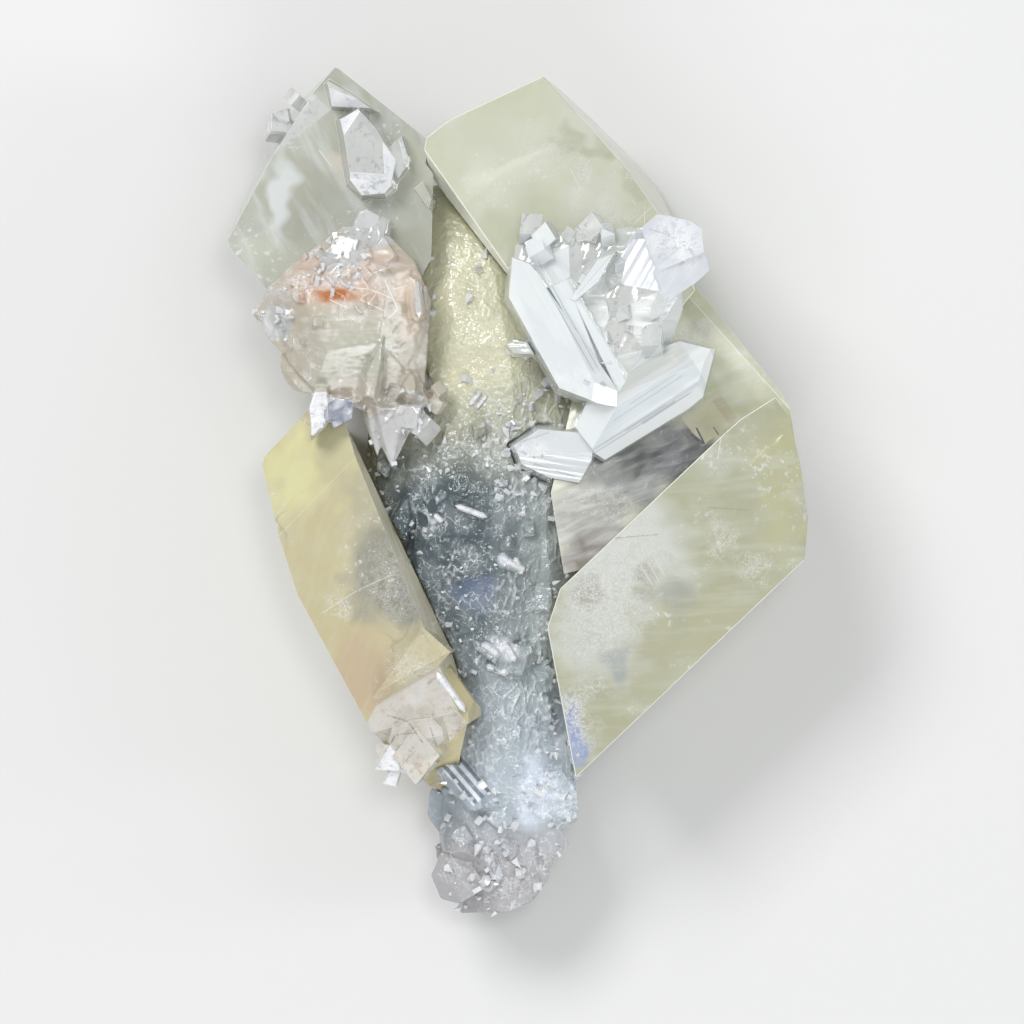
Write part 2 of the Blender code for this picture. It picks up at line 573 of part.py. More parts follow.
grow_node(
    "upper_right_crystal",
    crystal("core", UPPER_RIGHT),
    [],
    [],
    material("upper_right_calcite", (0.78, 0.80, 0.64), 0.12, 0.7),
)
grow_node(
    "lower_right_crystal",
    crystal("core", LOWER_RIGHT),
    [],
    [],
    material("lower_right_calcite", (0.78, 0.80, 0.62), 0.12, 0.7),
)
grow_node(
    "right_crystal",
    crystal("core", RIGHT),
    [],
    big_right,
    material("right_calcite", (0.66, 0.67, 0.55), 0.12, 0.7),
)
grow_node(
    "upper_left_crystal",
    crystal("core", UPPER_LEFT),
    UPPER_LEFT_BRANCHES,
    [UPPER_RIGHT],
    material("upper_left_calcite", (0.76, 0.79, 0.71), 0.18, 0.55),
)
grow_node(
    "lower_left_crystal",
    crystal("core", LOWER_LEFT),
    LOWER_LEFT_BRANCHES,
    [],
    material("lower_left_calcite", (0.78, 0.76, 0.56), 0.12, 0.7),
)
grow_node(
    "peach_crystals",
    crystal("core", PEACH),
    PEACH_BRANCHES,
    [UPPER_RIGHT, *upper_left_all, *lower_left_all],
    material("peach_calcite", (0.80, 0.72, 0.64), 0.25, 0.5),
)
grow_node(
    "white_blades",
    crystal("core", BLADE_BED),
    BLADES,
    [*big_right, RIGHT],
    material("white_blade", (0.84, 0.87, 0.88), 0.10, 0.6),
)
grow_node(
    "druse_spine",
    spine_core(),
    SPINE_BRANCHES,
    [*big_right, RIGHT, *upper_left_all, *lower_left_all, *peach_all, *blades_all],
    material("grey_druse", (0.52, 0.57, 0.60), 0.45, 0.2),
)
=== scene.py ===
"""Looks of the calcite cluster: clear and cloudy crystals, white blades and a wrinkled grey spine."""

import math

import bmesh
import bpy
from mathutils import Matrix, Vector, noise
from mathutils.bvhtree import BVHTree


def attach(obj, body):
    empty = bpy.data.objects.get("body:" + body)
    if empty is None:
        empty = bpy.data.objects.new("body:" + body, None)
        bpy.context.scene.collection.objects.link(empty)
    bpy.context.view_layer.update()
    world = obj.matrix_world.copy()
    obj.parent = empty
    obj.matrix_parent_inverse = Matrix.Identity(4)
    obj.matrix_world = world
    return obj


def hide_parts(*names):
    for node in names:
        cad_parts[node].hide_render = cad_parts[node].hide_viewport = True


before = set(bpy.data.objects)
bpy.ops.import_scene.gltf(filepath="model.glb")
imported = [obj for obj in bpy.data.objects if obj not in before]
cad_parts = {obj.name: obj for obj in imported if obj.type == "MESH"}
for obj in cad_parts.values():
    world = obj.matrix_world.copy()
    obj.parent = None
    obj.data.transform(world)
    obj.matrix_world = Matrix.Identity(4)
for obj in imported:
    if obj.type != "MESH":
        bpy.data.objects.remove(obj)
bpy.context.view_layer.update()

# Stage and light
# The cluster lies on its back on a pale matt table, in soft studio light. The camera looks straight
# down on the show face, far off and with a long lens, as the photograph was taken.
FRAME_WIDTH = 0.1556
CAMERA_HEIGHT = 0.80
FACE_HEIGHT = 0.030
SENSOR_WIDTH = 36
LAMP_TARGET = Vector((0, 0, 0.02))
TABLE_SIZE = 2.0
TABLE_DROP = 0.0001

camera = bpy.data.objects.new("camera", bpy.data.cameras.new("camera"))
bpy.context.collection.objects.link(camera)
camera.location = (-0.0009, -0.0027, FACE_HEIGHT + CAMERA_HEIGHT)
camera.data.sensor_width = SENSOR_WIDTH
camera.data.lens = SENSOR_WIDTH * CAMERA_HEIGHT / FRAME_WIDTH
camera.data.clip_start = 0.01
bpy.context.scene.camera = camera

world = bpy.data.worlds.new("studio")
world.use_nodes = True
world.node_tree.nodes["Background"].inputs["Color"].default_value = (0.95, 0.97, 1.0, 1)
world.node_tree.nodes["Background"].inputs["Strength"].default_value = 0.52
bpy.context.scene.world = world
bpy.context.scene.view_settings.view_transform = "Standard"


def softbox(name, place, size, power, colour=(1, 1, 1)):
    """An area light that faces the cluster. Its power is in watts."""
    light = bpy.data.lights.new(name, "AREA")
    light.shape = "RECTANGLE"
    light.size, light.size_y = size
    light.energy = power
    light.color = colour
    lamp = bpy.data.objects.new(name, light)
    bpy.context.collection.objects.link(lamp)
    lamp.location = place
    lamp.rotation_euler = (LAMP_TARGET - Vector(place)).to_track_quat("-Z", "Y").to_euler()


softbox("key", (-0.45, 0.55, 0.80), (0.50, 0.35), 7.4)
softbox("side", (0.85, 0.00, 0.22), (0.20, 0.70), 3.0, (0.95, 0.98, 1.0))
softbox("foot", (0.10, -0.75, 0.50), (0.60, 0.20), 2.8)
softbox("top", (0.10, 0.12, 0.95), (0.16, 0.16), 1.6)


def piece_from(bm, name):
    """Makes an object of a bmesh, which it frees."""
    mesh = bpy.data.meshes.new(name)
    bm.to_mesh(mesh)
    bm.free()
    piece = bpy.data.objects.new(name, mesh)
    bpy.context.collection.objects.link(piece)
    return piece


table_bm = bmesh.new()
bmesh.ops.create_grid(table_bm, x_segments=1, y_segments=1, size=TABLE_SIZE)
bmesh.ops.translate(table_bm, verts=table_bm.verts[:], vec=(0, 0, -TABLE_DROP))
table = piece_from(table_bm, "table")
table_finish = bpy.data.materials.new("table_top")
table_finish.use_nodes = True
table_shader = table_finish.node_tree.nodes["Principled BSDF"]
table_shader.inputs["Base Color"].default_value = (0.62, 0.62, 0.61, 1)
table_shader.inputs["Roughness"].default_value = 0.75
table.data.materials.append(table_finish)


# Upper right crystal
# The broad flat crystal at the crown: pale yellow-green, clear with faint milky clouds. A real crystal
# has knife-sharp edges that scatter light, so each edge gets a hair-wide facet with a painted highlight.
EDGE_WIDTH = 0.00014
FINE_EDGE_WIDTH = 0.00010
EDGE_ANGLE = math.radians(14)
FLAT_ANGLE = math.radians(0.6)
WELD_DISTANCE = 0.00005
SAME_FACING = 0.97
CALCITE_IOR = 1.6
BUMP_HEIGHT = 0.0004


def polished(name, node, edge_width=EDGE_WIDTH):
    """A crystal with its node's own faces, and hair-wide facets in the second slot on its edges."""
    bm = bmesh.new()
    bm.from_mesh(bpy.data.objects[node].data)
    bmesh.ops.remove_doubles(bm, verts=bm.verts[:], dist=WELD_DISTANCE)
    bmesh.ops.dissolve_limit(bm, angle_limit=FLAT_ANGLE, verts=bm.verts[:], edges=bm.edges[:])
    sharp = [e for e in bm.edges if e.is_manifold and e.calc_face_angle(0) > EDGE_ANGLE]
    bmesh.ops.bevel(
        bm, geom=sharp, offset=edge_width, offset_type="OFFSET", segments=1, profile=0.5,
        affect="EDGES", clamp_overlap=True, material=1,
    )
    bmesh.ops.triangulate(bm, faces=bm.faces[:])
    piece = piece_from(bm, name)
    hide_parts(node)
    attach(piece, "root")
    return piece


def finish_faces(piece, number, centre, reach, facing=None, lowest=0.0, only=(0,)):
    """Gives the faces about centre, within reach and turned towards facing, to another slot."""
    for face in piece.data.polygons:
        place = face.center * 1000
        near = (place.xy - Vector(centre)).length < reach and place.z > lowest
        turned = facing is None or face.normal.dot(Vector(facing).normalized()) > SAME_FACING
        if near and turned and face.material_index in only:
            face.material_index = number


def add(tree, kind, settings=None, **sockets):
    """Adds a node. A socket is given a value, or is linked where another node's output is given."""
    made = tree.nodes.new(kind)
    for key, value in (settings or {}).items():
        setattr(made, key, value)
    for key, value in sockets.items():
        feed(tree, made.inputs[key.replace("_", " ")], value)
    return made


def feed(tree, socket, value):
    """Links value to socket, or sets it there where it is a plain value."""
    if isinstance(value, bpy.types.NodeSocket):
        tree.links.new(value, socket)
    else:
        socket.default_value = value


def arith(tree, operation, first, second=0.0, third=0.0):
    """The result of a Math node."""
    made = tree.nodes.new("ShaderNodeMath")
    made.operation = operation
    for socket, value in zip(made.inputs, (first, second, third)):
        feed(tree, socket, value)
    return made.outputs[0]


def vector(tree, operation, first, second, third=(0, 0, 0)):
    """The result of a Vector Math node."""
    made = tree.nodes.new("ShaderNodeVectorMath")
    made.operation = operation
    for socket, value in zip(made.inputs, (first, second, third)):
        feed(tree, socket, value)
    return made.outputs["Value" if operation in ("LENGTH", "DOT_PRODUCT") else "Vector"]


def span(tree, value, low, high, out_low=0.0, out_high=1.0):
    """Maps value from low..high to out_low..out_high and holds it there."""
    return add(
        tree, "ShaderNodeMapRange", None, Value=value, From_Min=low, From_Max=high,
        To_Min=out_low, To_Max=out_high,
    ).outputs["Result"]


def tint(tree, mask, under, over):
    """Mixes the colour over onto the colour under, by mask."""
    made = tree.nodes.new("ShaderNodeMix")
    made.data_type = "RGBA"
    feed(tree, made.inputs[0], mask)
    feed(tree, made.inputs[6], under if isinstance(under, bpy.types.NodeSocket) else (*under, 1))
    feed(tree, made.inputs[7], over if isinstance(over, bpy.types.NodeSocket) else (*over, 1))
    return made.outputs[2]


def paint(tree, colour, mask, strength, shade):
    """Lays shade on colour, by mask and at most at strength."""
    return tint(tree, arith(tree, "MULTIPLY", mask, strength), colour, shade)


def inside_group():
    """Shared group: clouds, healed cracks, flecks, grain, painted glints and painted shade of tiny
    mirror-like flaws, and relief.
    """
    group = bpy.data.node_groups.new("crystal_inside", "ShaderNodeTree")
    for name, value in (
        ("Place", None), ("Grain", None), ("Cloud Size", 90.0), ("Crack Size", 120.0),
        ("Fleck Size", 900.0), ("Grain Size", 700.0), ("Flaw Size", 900.0),
    ):
        kind = "NodeSocketVector" if value is None else "NodeSocketFloat"
        made = group.interface.new_socket(name, in_out="INPUT", socket_type=kind)
        if value is not None:
            made.default_value = value
    for name in ("Cloud", "Crack", "Fleck", "Streak", "Lace", "Glint", "Shade", "Relief"):
        group.interface.new_socket(name, in_out="OUTPUT", socket_type="NodeSocketFloat")
    given = group.nodes.new("NodeGroupInput").outputs
    result = group.nodes.new("NodeGroupOutput").inputs

    shift = add(group, "ShaderNodeTexNoise", Vector=given["Place"], Scale=260.0, Detail=1.0)
    bent = vector(group, "MULTIPLY_ADD", shift.outputs["Color"], (0.004, 0.004, 0.004), given["Place"])
    soft = add(group, "ShaderNodeTexNoise", Vector=bent, Scale=given["Cloud Size"], Detail=3.0,
               Roughness=0.62).outputs["Fac"]
    feed(group, result["Cloud"], span(group, soft, 0.40, 0.70))

    cells = add(group, "ShaderNodeTexVoronoi", {"feature": "DISTANCE_TO_EDGE"}, Vector=bent,
                Scale=given["Crack Size"])
    line = span(group, cells.outputs["Distance"], 0.0, 0.020, 1.0, 0.0)
    feed(group, result["Crack"], arith(group, "MULTIPLY", line, span(group, soft, 0.48, 0.60)))

    fine = add(group, "ShaderNodeTexNoise", Vector=given["Place"], Scale=given["Fleck Size"], Detail=3.0,
               Roughness=0.75).outputs["Fac"]
    flecks = arith(group, "MULTIPLY", span(group, fine, 0.57, 0.66), span(group, soft, 0.50, 0.62))
    feed(group, result["Fleck"], flecks)

    lines = add(group, "ShaderNodeTexNoise", Vector=given["Grain"], Scale=given["Grain Size"],
                Detail=2.0, Roughness=0.6).outputs["Fac"]
    feed(group, result["Streak"], span(group, lines, 0.50, 0.68))

    edge = arith(group, "ABSOLUTE", arith(group, "SUBTRACT", fine, 0.5))
    threads = span(group, edge, 0.01, 0.05, 1.0, 0.0)
    lace = arith(group, "MAXIMUM", threads, span(group, fine, 0.58, 0.63))
    feed(group, result["Lace"], lace)

    # Painted glints on bright angular facets and threads, and painted shade on darker angular facets.
    ragged = vector(group, "MULTIPLY_ADD", shift.outputs["Color"], (0.003, 0.003, 0.003),
                    given["Grain"])
    shards = add(group, "ShaderNodeTexVoronoi", None, Vector=ragged, Scale=given["Flaw Size"])
    facet = vector(group, "DOT_PRODUCT", shards.outputs["Color"], (1, 0, 0))
    bright = arith(group, "MULTIPLY", span(group, facet, 0.52, 0.80), span(group, fine, 0.44, 0.56))
    feed(group, result["Glint"], arith(group, "MAXIMUM", bright, lace))
    shaded_facets = arith(group, "MULTIPLY", span(group, facet, 0.50, 0.20), span(group, fine, 0.50, 0.40))
    feed(group, result["Shade"], shaded_facets)

    ribs = add(group, "ShaderNodeTexNoise", Vector=given["Grain"], Scale=given["Grain Size"], Detail=1.0)
    feed(group, result["Relief"], ribs.outputs["Fac"])
    return group


crystal_inside = inside_group()


def patch(tree, place, centre, radii, soft=0.5):
    """Mask of a soft-edged region of the crystal about centre, radii wide along X, Y and Z, in mm."""
    offset = vector(tree, "SUBTRACT", place, tuple(c * 0.001 for c in centre))
    scaled = vector(tree, "MULTIPLY", offset, tuple(1000.0 / r for r in radii))
    return span(tree, vector(tree, "LENGTH", scaled, (0, 0, 0)), 1.0, 1.0 - soft)


def window(tree, place, centre, sides):
    """Mask of a crisp cleavage window about centre. sides are (bearing, half width) of edge pairs."""
    offset = vector(tree, "SUBTRACT", place, (centre[0] * 0.001, centre[1] * 0.001, 0))
    mask = 1.0
    for bearing, half in sides:
        turn = math.radians(bearing)
        across = vector(tree, "DOT_PRODUCT", offset, (math.cos(turn), math.sin(turn), 0))
        inside = span(tree, arith(tree, "ABSOLUTE", across), half * 0.001, half * 0.0009)
        mask = arith(tree, "MULTIPLY", inside, mask)
    return mask


def line_sides(start, end, wide):
    """Centre and edge pairs of the window that draws a line from start to end."""
    run = Vector(end) - Vector(start)
    bearing = math.degrees(math.atan2(run.y, run.x))
    centre = (Vector(end) + Vector(start)) / 2
    return centre, ((bearing, run.length / 2), (bearing + 90, wide / 2))


NO_MARK = ((1, 1, 1), 0)
ALL_OVER = ((0, 0, 20), (150, 150, 150))


def calcite(name, clear, milky, patches=(), windows=(), lines=(), sparkle=(), grain=(0, 6),
            streak=((1, 1, 1), 0.3), grain_size=700.0, clear_share=0.6, veil=0.6, crack=NO_MARK,
            fleck=0.8, cloud_size=90.0, crack_size=120.0, flaw_size=900.0, facet_shade=None, absorb=None,
            gloss=0.04, haze=0.14, relief=0.2):
    """Clear to milky calcite. patches are (centre, radii, colour, strength) of tinted regions, windows
    (centre, sides, colour, strength), lines (start, end, wide, colour, strength), sparkle (centre,
    radii, strength) of regions of painted glints on tiny flaws, with painted shade on some angular
    facets among them where a shade colour is given, and grain the bearing and stretch of its
    streaks. Places and sizes are in mm."""
    finish = bpy.data.materials.new(name)
    finish.use_nodes = True
    tree = finish.node_tree
    shader = tree.nodes["Principled BSDF"]
    place = add(tree, "ShaderNodeTexCoord").outputs["Object"]
    turned = add(tree, "ShaderNodeMapping", {"vector_type": "TEXTURE"}, Vector=place)
    turned.inputs["Rotation"].default_value = (0, 0, math.radians(grain[0]))
    turned.inputs["Scale"].default_value = (grain[1], 1, 1)
    group = tree.nodes.new("ShaderNodeGroup")
    group.node_tree = crystal_inside
    for socket, value in (
        ("Place", place), ("Grain", turned.outputs["Vector"]), ("Cloud Size", cloud_size),
        ("Crack Size", crack_size), ("Grain Size", grain_size), ("Flaw Size", flaw_size),
    ):
        feed(tree, group.inputs[socket], value)
    wander = add(tree, "ShaderNodeTexNoise", Vector=place, Scale=190.0, Detail=1.0, Roughness=0.65)
    centred = vector(tree, "SUBTRACT", place, (0.005, 0.005, 0.005))
    warped = vector(tree, "MULTIPLY_ADD", wander.outputs["Color"], (0.010, 0.010, 0.010), centred)
    cloud = group.outputs["Cloud"]
    colour = tint(tree, arith(tree, "MULTIPLY", cloud, veil), clear, milky)
    for centre, radii, shade, strength in patches:
        colour = paint(tree, colour, patch(tree, warped, centre, radii), strength, shade)
    for centre, sides, shade, strength in windows:
        colour = paint(tree, colour, window(tree, place, centre, sides), strength, shade)
    for start, end, wide, shade, strength in lines:
        mask = window(tree, place, *line_sides(start, end, wide))
        colour = paint(tree, colour, mask, strength, shade)
    for output, (shade, strength) in (
        ("Streak", streak), ("Crack", crack), ("Fleck", ((1, 1, 1), fleck)),
    ):
        if strength:
            colour = paint(tree, colour, group.outputs[output], strength, shade)
    # Painted glints in white, and painted shade in the shade colour where one is given, over each
    # sparkle region.
    for centre, radii, strength in sparkle:
        where = arith(tree, "MULTIPLY", patch(tree, warped, centre, radii, 0.7), strength)
        if facet_shade:
            colour = paint(tree, colour, group.outputs["Shade"], where, facet_shade)
        colour = paint(tree, colour, group.outputs["Glint" if facet_shade else "Lace"], where, (1, 1, 1))
    feed(tree, shader.inputs["Base Color"], colour)
    feed(tree, shader.inputs["Roughness"], span(tree, cloud, 0.0, 1.0, gloss, gloss + haze))
    bump = add(tree, "ShaderNodeBump", Strength=relief, Distance=BUMP_HEIGHT,
               Height=group.outputs["Relief"])
    feed(tree, shader.inputs["Normal"], bump.outputs["Normal"])
    shader.inputs["IOR"].default_value = CALCITE_IOR
    shader.inputs["Transmission Weight"].default_value = clear_share
    if absorb:
        volume = tree.nodes.new("ShaderNodeVolumeAbsorption")
        volume.inputs["Color"].default_value = (*absorb[0], 1)
        volume.inputs["Density"].default_value = absorb[1]
        output = [n for n in tree.nodes if n.type == "OUTPUT_MATERIAL"][0]
        tree.links.new(volume.outputs["Volume"], output.inputs["Volume"])
    return finish


# Painted highlight: the pale colour of the hair-wide edge facets stands in for light caught on sharp
# edges.
painted_highlight_edge = calcite(
    "painted_highlight_edge", (0.88, 0.89, 0.79), (0.97, 0.98, 0.93), clear_share=0.2, gloss=0.12,
    streak=NO_MARK, fleck=0, cloud_size=240.0,
)
# The small clear and white crystals carry painted glints and painted shaded facets all over.
clear_calcite = calcite(
    "clear_calcite", (0.92, 0.93, 0.92), (1.0, 1.0, 1.0), clear_share=0.62, veil=0.9, gloss=0.02,
    haze=0.04, relief=0.15, grain=(60, 3), cloud_size=330.0, fleck=0,
    sparkle=[(*ALL_OVER, 0.7)], flaw_size=1100.0, facet_shade=(0.58, 0.61, 0.62),
)
white_calcite = calcite(
    "white_calcite", (0.74, 0.77, 0.83), (0.95, 0.96, 0.99), clear_share=0.3, veil=1.0, gloss=0.04,
    relief=0.3, cloud_size=420.0, fleck=0, sparkle=[(*ALL_OVER, 0.9)],
    flaw_size=1500.0, facet_shade=(0.52, 0.55, 0.62),
)
point_calcite = calcite(
    "point_calcite", (0.84, 0.86, 0.88), (1.0, 1.0, 1.0), clear_share=0.35, veil=1.0, gloss=0.03,
    haze=0.05, relief=0.1, cloud_size=700.0, streak=NO_MARK, fleck=0,
)

upper_right = polished("upper_right", "upper_right_crystal")
upper_right.data.materials.append(
    calcite(
        "upper_right_finish", (0.80, 0.81, 0.63), (0.88, 0.90, 0.78),
        patches=[
            ((0, 52, 28), (12, 8, 30), (0.86, 0.88, 0.74), 0.6),
            ((20, 50, 28), (6, 12, 30), (0.75, 0.76, 0.55), 0.6),
            ((-5, 37, 28), (6, 8, 30), (0.80, 0.82, 0.62), 0.5),
            ((12, 45, 28), (8, 5, 30), (0.90, 0.92, 0.82), 0.5),
            ((11, 56, 28), (5, 3, 30), (0.92, 0.93, 0.86), 0.4),
            ((11, 53.2, 28), (7, 1.8, 30), (0.58, 0.60, 0.44), 0.6),
            ((18, 49, 28), (2.4, 5, 30), (0.62, 0.63, 0.48), 0.5),
        ],
        sparkle=[((8.5, 47.6, 30), (2.6, 4.6, 30), 1.0), ((4, 52, 30), (9, 3, 30), 0.4),
                 ((15, 42, 30), (7, 3.5, 30), 0.7)],
        lines=[
            ((20.6, 52.6), (22.2, 45.4), 0.20, (0.62, 0.64, 0.42), 0.5),
            ((21.0, 47.2), (26.0, 42.8), 0.16, (0.98, 0.98, 0.92), 0.6),
            ((8.0, 49.4), (9.6, 46.0), 0.20, (1.0, 1.0, 0.97), 0.8),
            ((16.0, 39.4), (20.4, 43.8), 0.18, (1.0, 1.0, 0.96), 0.7),
        ],
        grain=(62, 5), streak=((0.90, 0.92, 0.80), 0.25), grain_size=420.0,
        clear_share=0.52, veil=0.8, absorb=((0.90, 0.92, 0.70), 4.0),
    )
)
upper_right.data.materials.append(painted_highlight_edge)
# Painted highlight: the faces turned to the lower left take the pale edge finish, a bright sliver along
# the crystal's left edge.
finish_faces(upper_right, 1, (-9.0, 43.0), 20.0, (-0.80, -0.55, 0.17))
finish_faces(upper_right, 0, (18.0, 52.0), 17.0, only=(1,))

# Lower right crystal
# The broad front crystal: pale yellow-green, with white veils and streaks inside it, and painted glints
# among the veils.
lower_right = polished("lower_right", "lower_right_crystal")
lower_right.data.materials.append(
    calcite(
        "lower_right_finish", (0.56, 0.56, 0.39), (0.70, 0.71, 0.57),
        patches=[
            ((16, -8, 30), (13, 11, 30), (0.86, 0.88, 0.84), 0.85),
            ((12, -20, 30), (9, 11, 30), (0.78, 0.80, 0.75), 0.8),
            ((20, -13, 30), (3, 5, 30), (0.50, 0.50, 0.41), 0.7),
            ((10.5, -15, 30), (2.2, 4, 30), (0.48, 0.45, 0.39), 0.6),
            ((30, 5, 30), (9, 3.4, 30), (0.66, 0.69, 0.58), 0.6),
            ((40, 2, 30), (5, 14, 30), (0.66, 0.65, 0.40), 0.8),
            ((24, -17, 30), (3, 5, 30), (0.46, 0.49, 0.46), 0.6),
            ((14.5, -26, 30), (3, 3, 30), (0.42, 0.46, 0.50), 0.6),
            ((8.6, -35, 30), (3.0, 6, 30), (0.58, 0.64, 0.80), 0.6),
            ((8.4, -37, 30), (1.8, 5, 30), (0.34, 0.43, 0.76), 0.7),
            ((30, -20, 30), (14, 5, 30), (0.60, 0.59, 0.40), 0.6),
        ],
        sparkle=[((15, -9, 30), (11, 12, 30), 0.6), ((12, -19, 30), (9, 9, 30), 0.7),
                 ((9, -33, 30), (5, 7, 30), 0.9), ((29, 7, 30), (5, 4, 30), 0.5),
                 ((31, -7, 30), (2.0, 4.0, 30), 0.6), ((35, -11, 30), (4, 2.0, 30), 0.5)],
        lines=[
            ((14.1, -6.7), (21.4, -6.1), 0.20, (0.42, 0.46, 0.44), 0.8),
            ((28.6, -2.0), (35.4, -2.4), 0.14, (0.42, 0.42, 0.31), 0.6),
            ((30.2, 5.2), (30.8, 8.8), 0.16, (1.0, 1.0, 1.0), 0.8),
            ((27.8, 5.2), (28.2, 6.4), 0.40, (1.0, 1.0, 1.0), 0.9),
            ((18.6, -10.8), (20.4, -13.8), 0.20, (1.0, 1.0, 1.0), 0.6),
            ((19.7, -10.2), (21.4, -13.2), 0.16, (1.0, 1.0, 1.0), 0.7),
            ((20.8, -9.8), (22.3, -12.4), 0.16, (1.0, 1.0, 1.0), 0.6),
        ],
        grain=(4, 9), streak=((0.84, 0.85, 0.74), 0.3), grain_size=520.0, clear_share=0.46,
        veil=0.7, absorb=((0.90, 0.92, 0.68), 4.0),
    )
)
lower_right.data.materials.append(painted_highlight_edge)
finish_faces(lower_right, 0, (42.0, -4.0), 17.0, only=(1,))

# Right crystal
# The crystal behind it. A brown cleavage window shows through its face, and a dark zone of painted
# shade lies in the recess between the second blade and the lower right crystal.
right = polished("right", "right_crystal")
right.data.materials.append(
    calcite(
        "right_finish", (0.78, 0.79, 0.55), (0.86, 0.88, 0.72),
        patches=[
            ((12, -5, 26), (9, 9, 30), (0.30, 0.30, 0.26), 0.9),
            # Painted shade: the near-black zone in the recess between the second blade and the lower
            # right crystal.
            ((20, 5.0, 26), (14, 8, 30), (0.15, 0.17, 0.16), 0.95),
            ((24.5, 6.4, 26), (6.5, 4.4, 30), (0.06, 0.065, 0.085), 0.9),
            ((10, -11, 26), (6, 5, 30), (0.32, 0.28, 0.25), 0.8),
            ((33, 26, 26), (6, 6, 30), (0.84, 0.86, 0.68), 0.6),
        ],
        windows=[
            ((29.5, 11.5), ((36.7, 3.7), (-53.0, 2.6)), (0.90, 0.86, 0.58), 1.0),
            ((27.2, 10.2), ((36.7, 1.0), (-53.0, 2.5)), (0.90, 0.89, 0.66), 0.6),
            ((31.6, 13.0), ((36.7, 0.9), (-53.0, 2.4)), (0.56, 0.50, 0.33), 0.4),
        ],
        lines=[
            ((27.2, 10.2), (28.5, 7.6), 0.30, (0.05, 0.05, 0.08), 0.95),
            ((26.4, 9.2), (28.4, 7.6), 0.50, (0.05, 0.05, 0.08), 0.9),
            ((25.0, 10.0), (26.4, 8.0), 0.34, (0.10, 0.10, 0.12), 0.8),
            ((29.8, 10.3), (30.7, 9.0), 0.18, (0.08, 0.07, 0.07), 0.95),
        ],
        sparkle=[((27, 24, 26), (6, 3, 30), 0.8), ((14, -1, 26), (7, 4, 30), 0.35)],
        grain=(20, 6), clear_share=0.45, fleck=0.4, gloss=0.08, haze=0.24, relief=0.05,
    )
)
right.data.materials.append(painted_highlight_edge)

# Upper left crystal
# Cloudy grey-green crystal at the crown, with a clear prism and chips grown on its face and rim. Two
# of the prism's facets are frosted white.
upper_left = polished("upper_left", "upper_left_crystal", FINE_EDGE_WIDTH)
upper_left.data.materials.append(
    calcite(
        "upper_left_finish", (0.52, 0.53, 0.44), (0.63, 0.65, 0.59),
        patches=[
            ((-36, 45, 25), (3.0, 9, 30), (0.92, 0.95, 0.97), 0.7),
            ((-38, 35, 25), (8, 6, 30), (0.72, 0.75, 0.62), 0.6),
            ((-27, 50, 25), (3.4, 3.4, 8), (0.84, 0.72, 0.58), 0.6),
            ((-30, 60, 25), (6, 4, 30), (0.66, 0.69, 0.64), 0.5),
            ((-15, 50, 25), (3, 8, 30), (0.70, 0.72, 0.60), 0.5),
        ],
        lines=[
            ((-37.6, 40.6), (-34.0, 36.0), 0.20, (0.60, 0.63, 0.54), 0.5),
            ((-30.4, 52.6), (-28.4, 50.0), 0.25, (0.96, 0.97, 0.98), 0.6),
        ],
        grain=(-62, 5), streak=((0.93, 0.95, 0.95), 0.35), grain_size=380.0,
        clear_share=0.42, veil=0.8,
    )
)
upper_left.data.materials.append(painted_highlight_edge)
upper_left.data.materials.append(clear_calcite)
upper_left.data.materials.append(white_calcite)
for facet_centre, facet_reach, facet_facing in (
    ((-25.4, 57.4), 4.0, (-0.42, 0.30, 0.86)),
    ((-22.8, 46.7), 4.5, (-0.08, -0.62, 0.78)),
    ((-19.0, 50.6), 5.0, (0.72, 0.08, 0.69)),
    ((-17.4, 51.6), 4.0, (0.80, 0.16, 0.58)),
    ((-27.0, 60.8), 4.0, (-0.30, -0.60, 0.74)),
):
    finish_faces(upper_left, 3, facet_centre, facet_reach, facet_facing)
finish_faces(upper_left, 2, (-22.6, 52.0), 9.0, lowest=28.6)
finish_faces(upper_left, 2, (-26.0, 60.6), 5.0, lowest=28.6)
finish_faces(upper_left, 2, (-36.0, 58.0), 4.0)

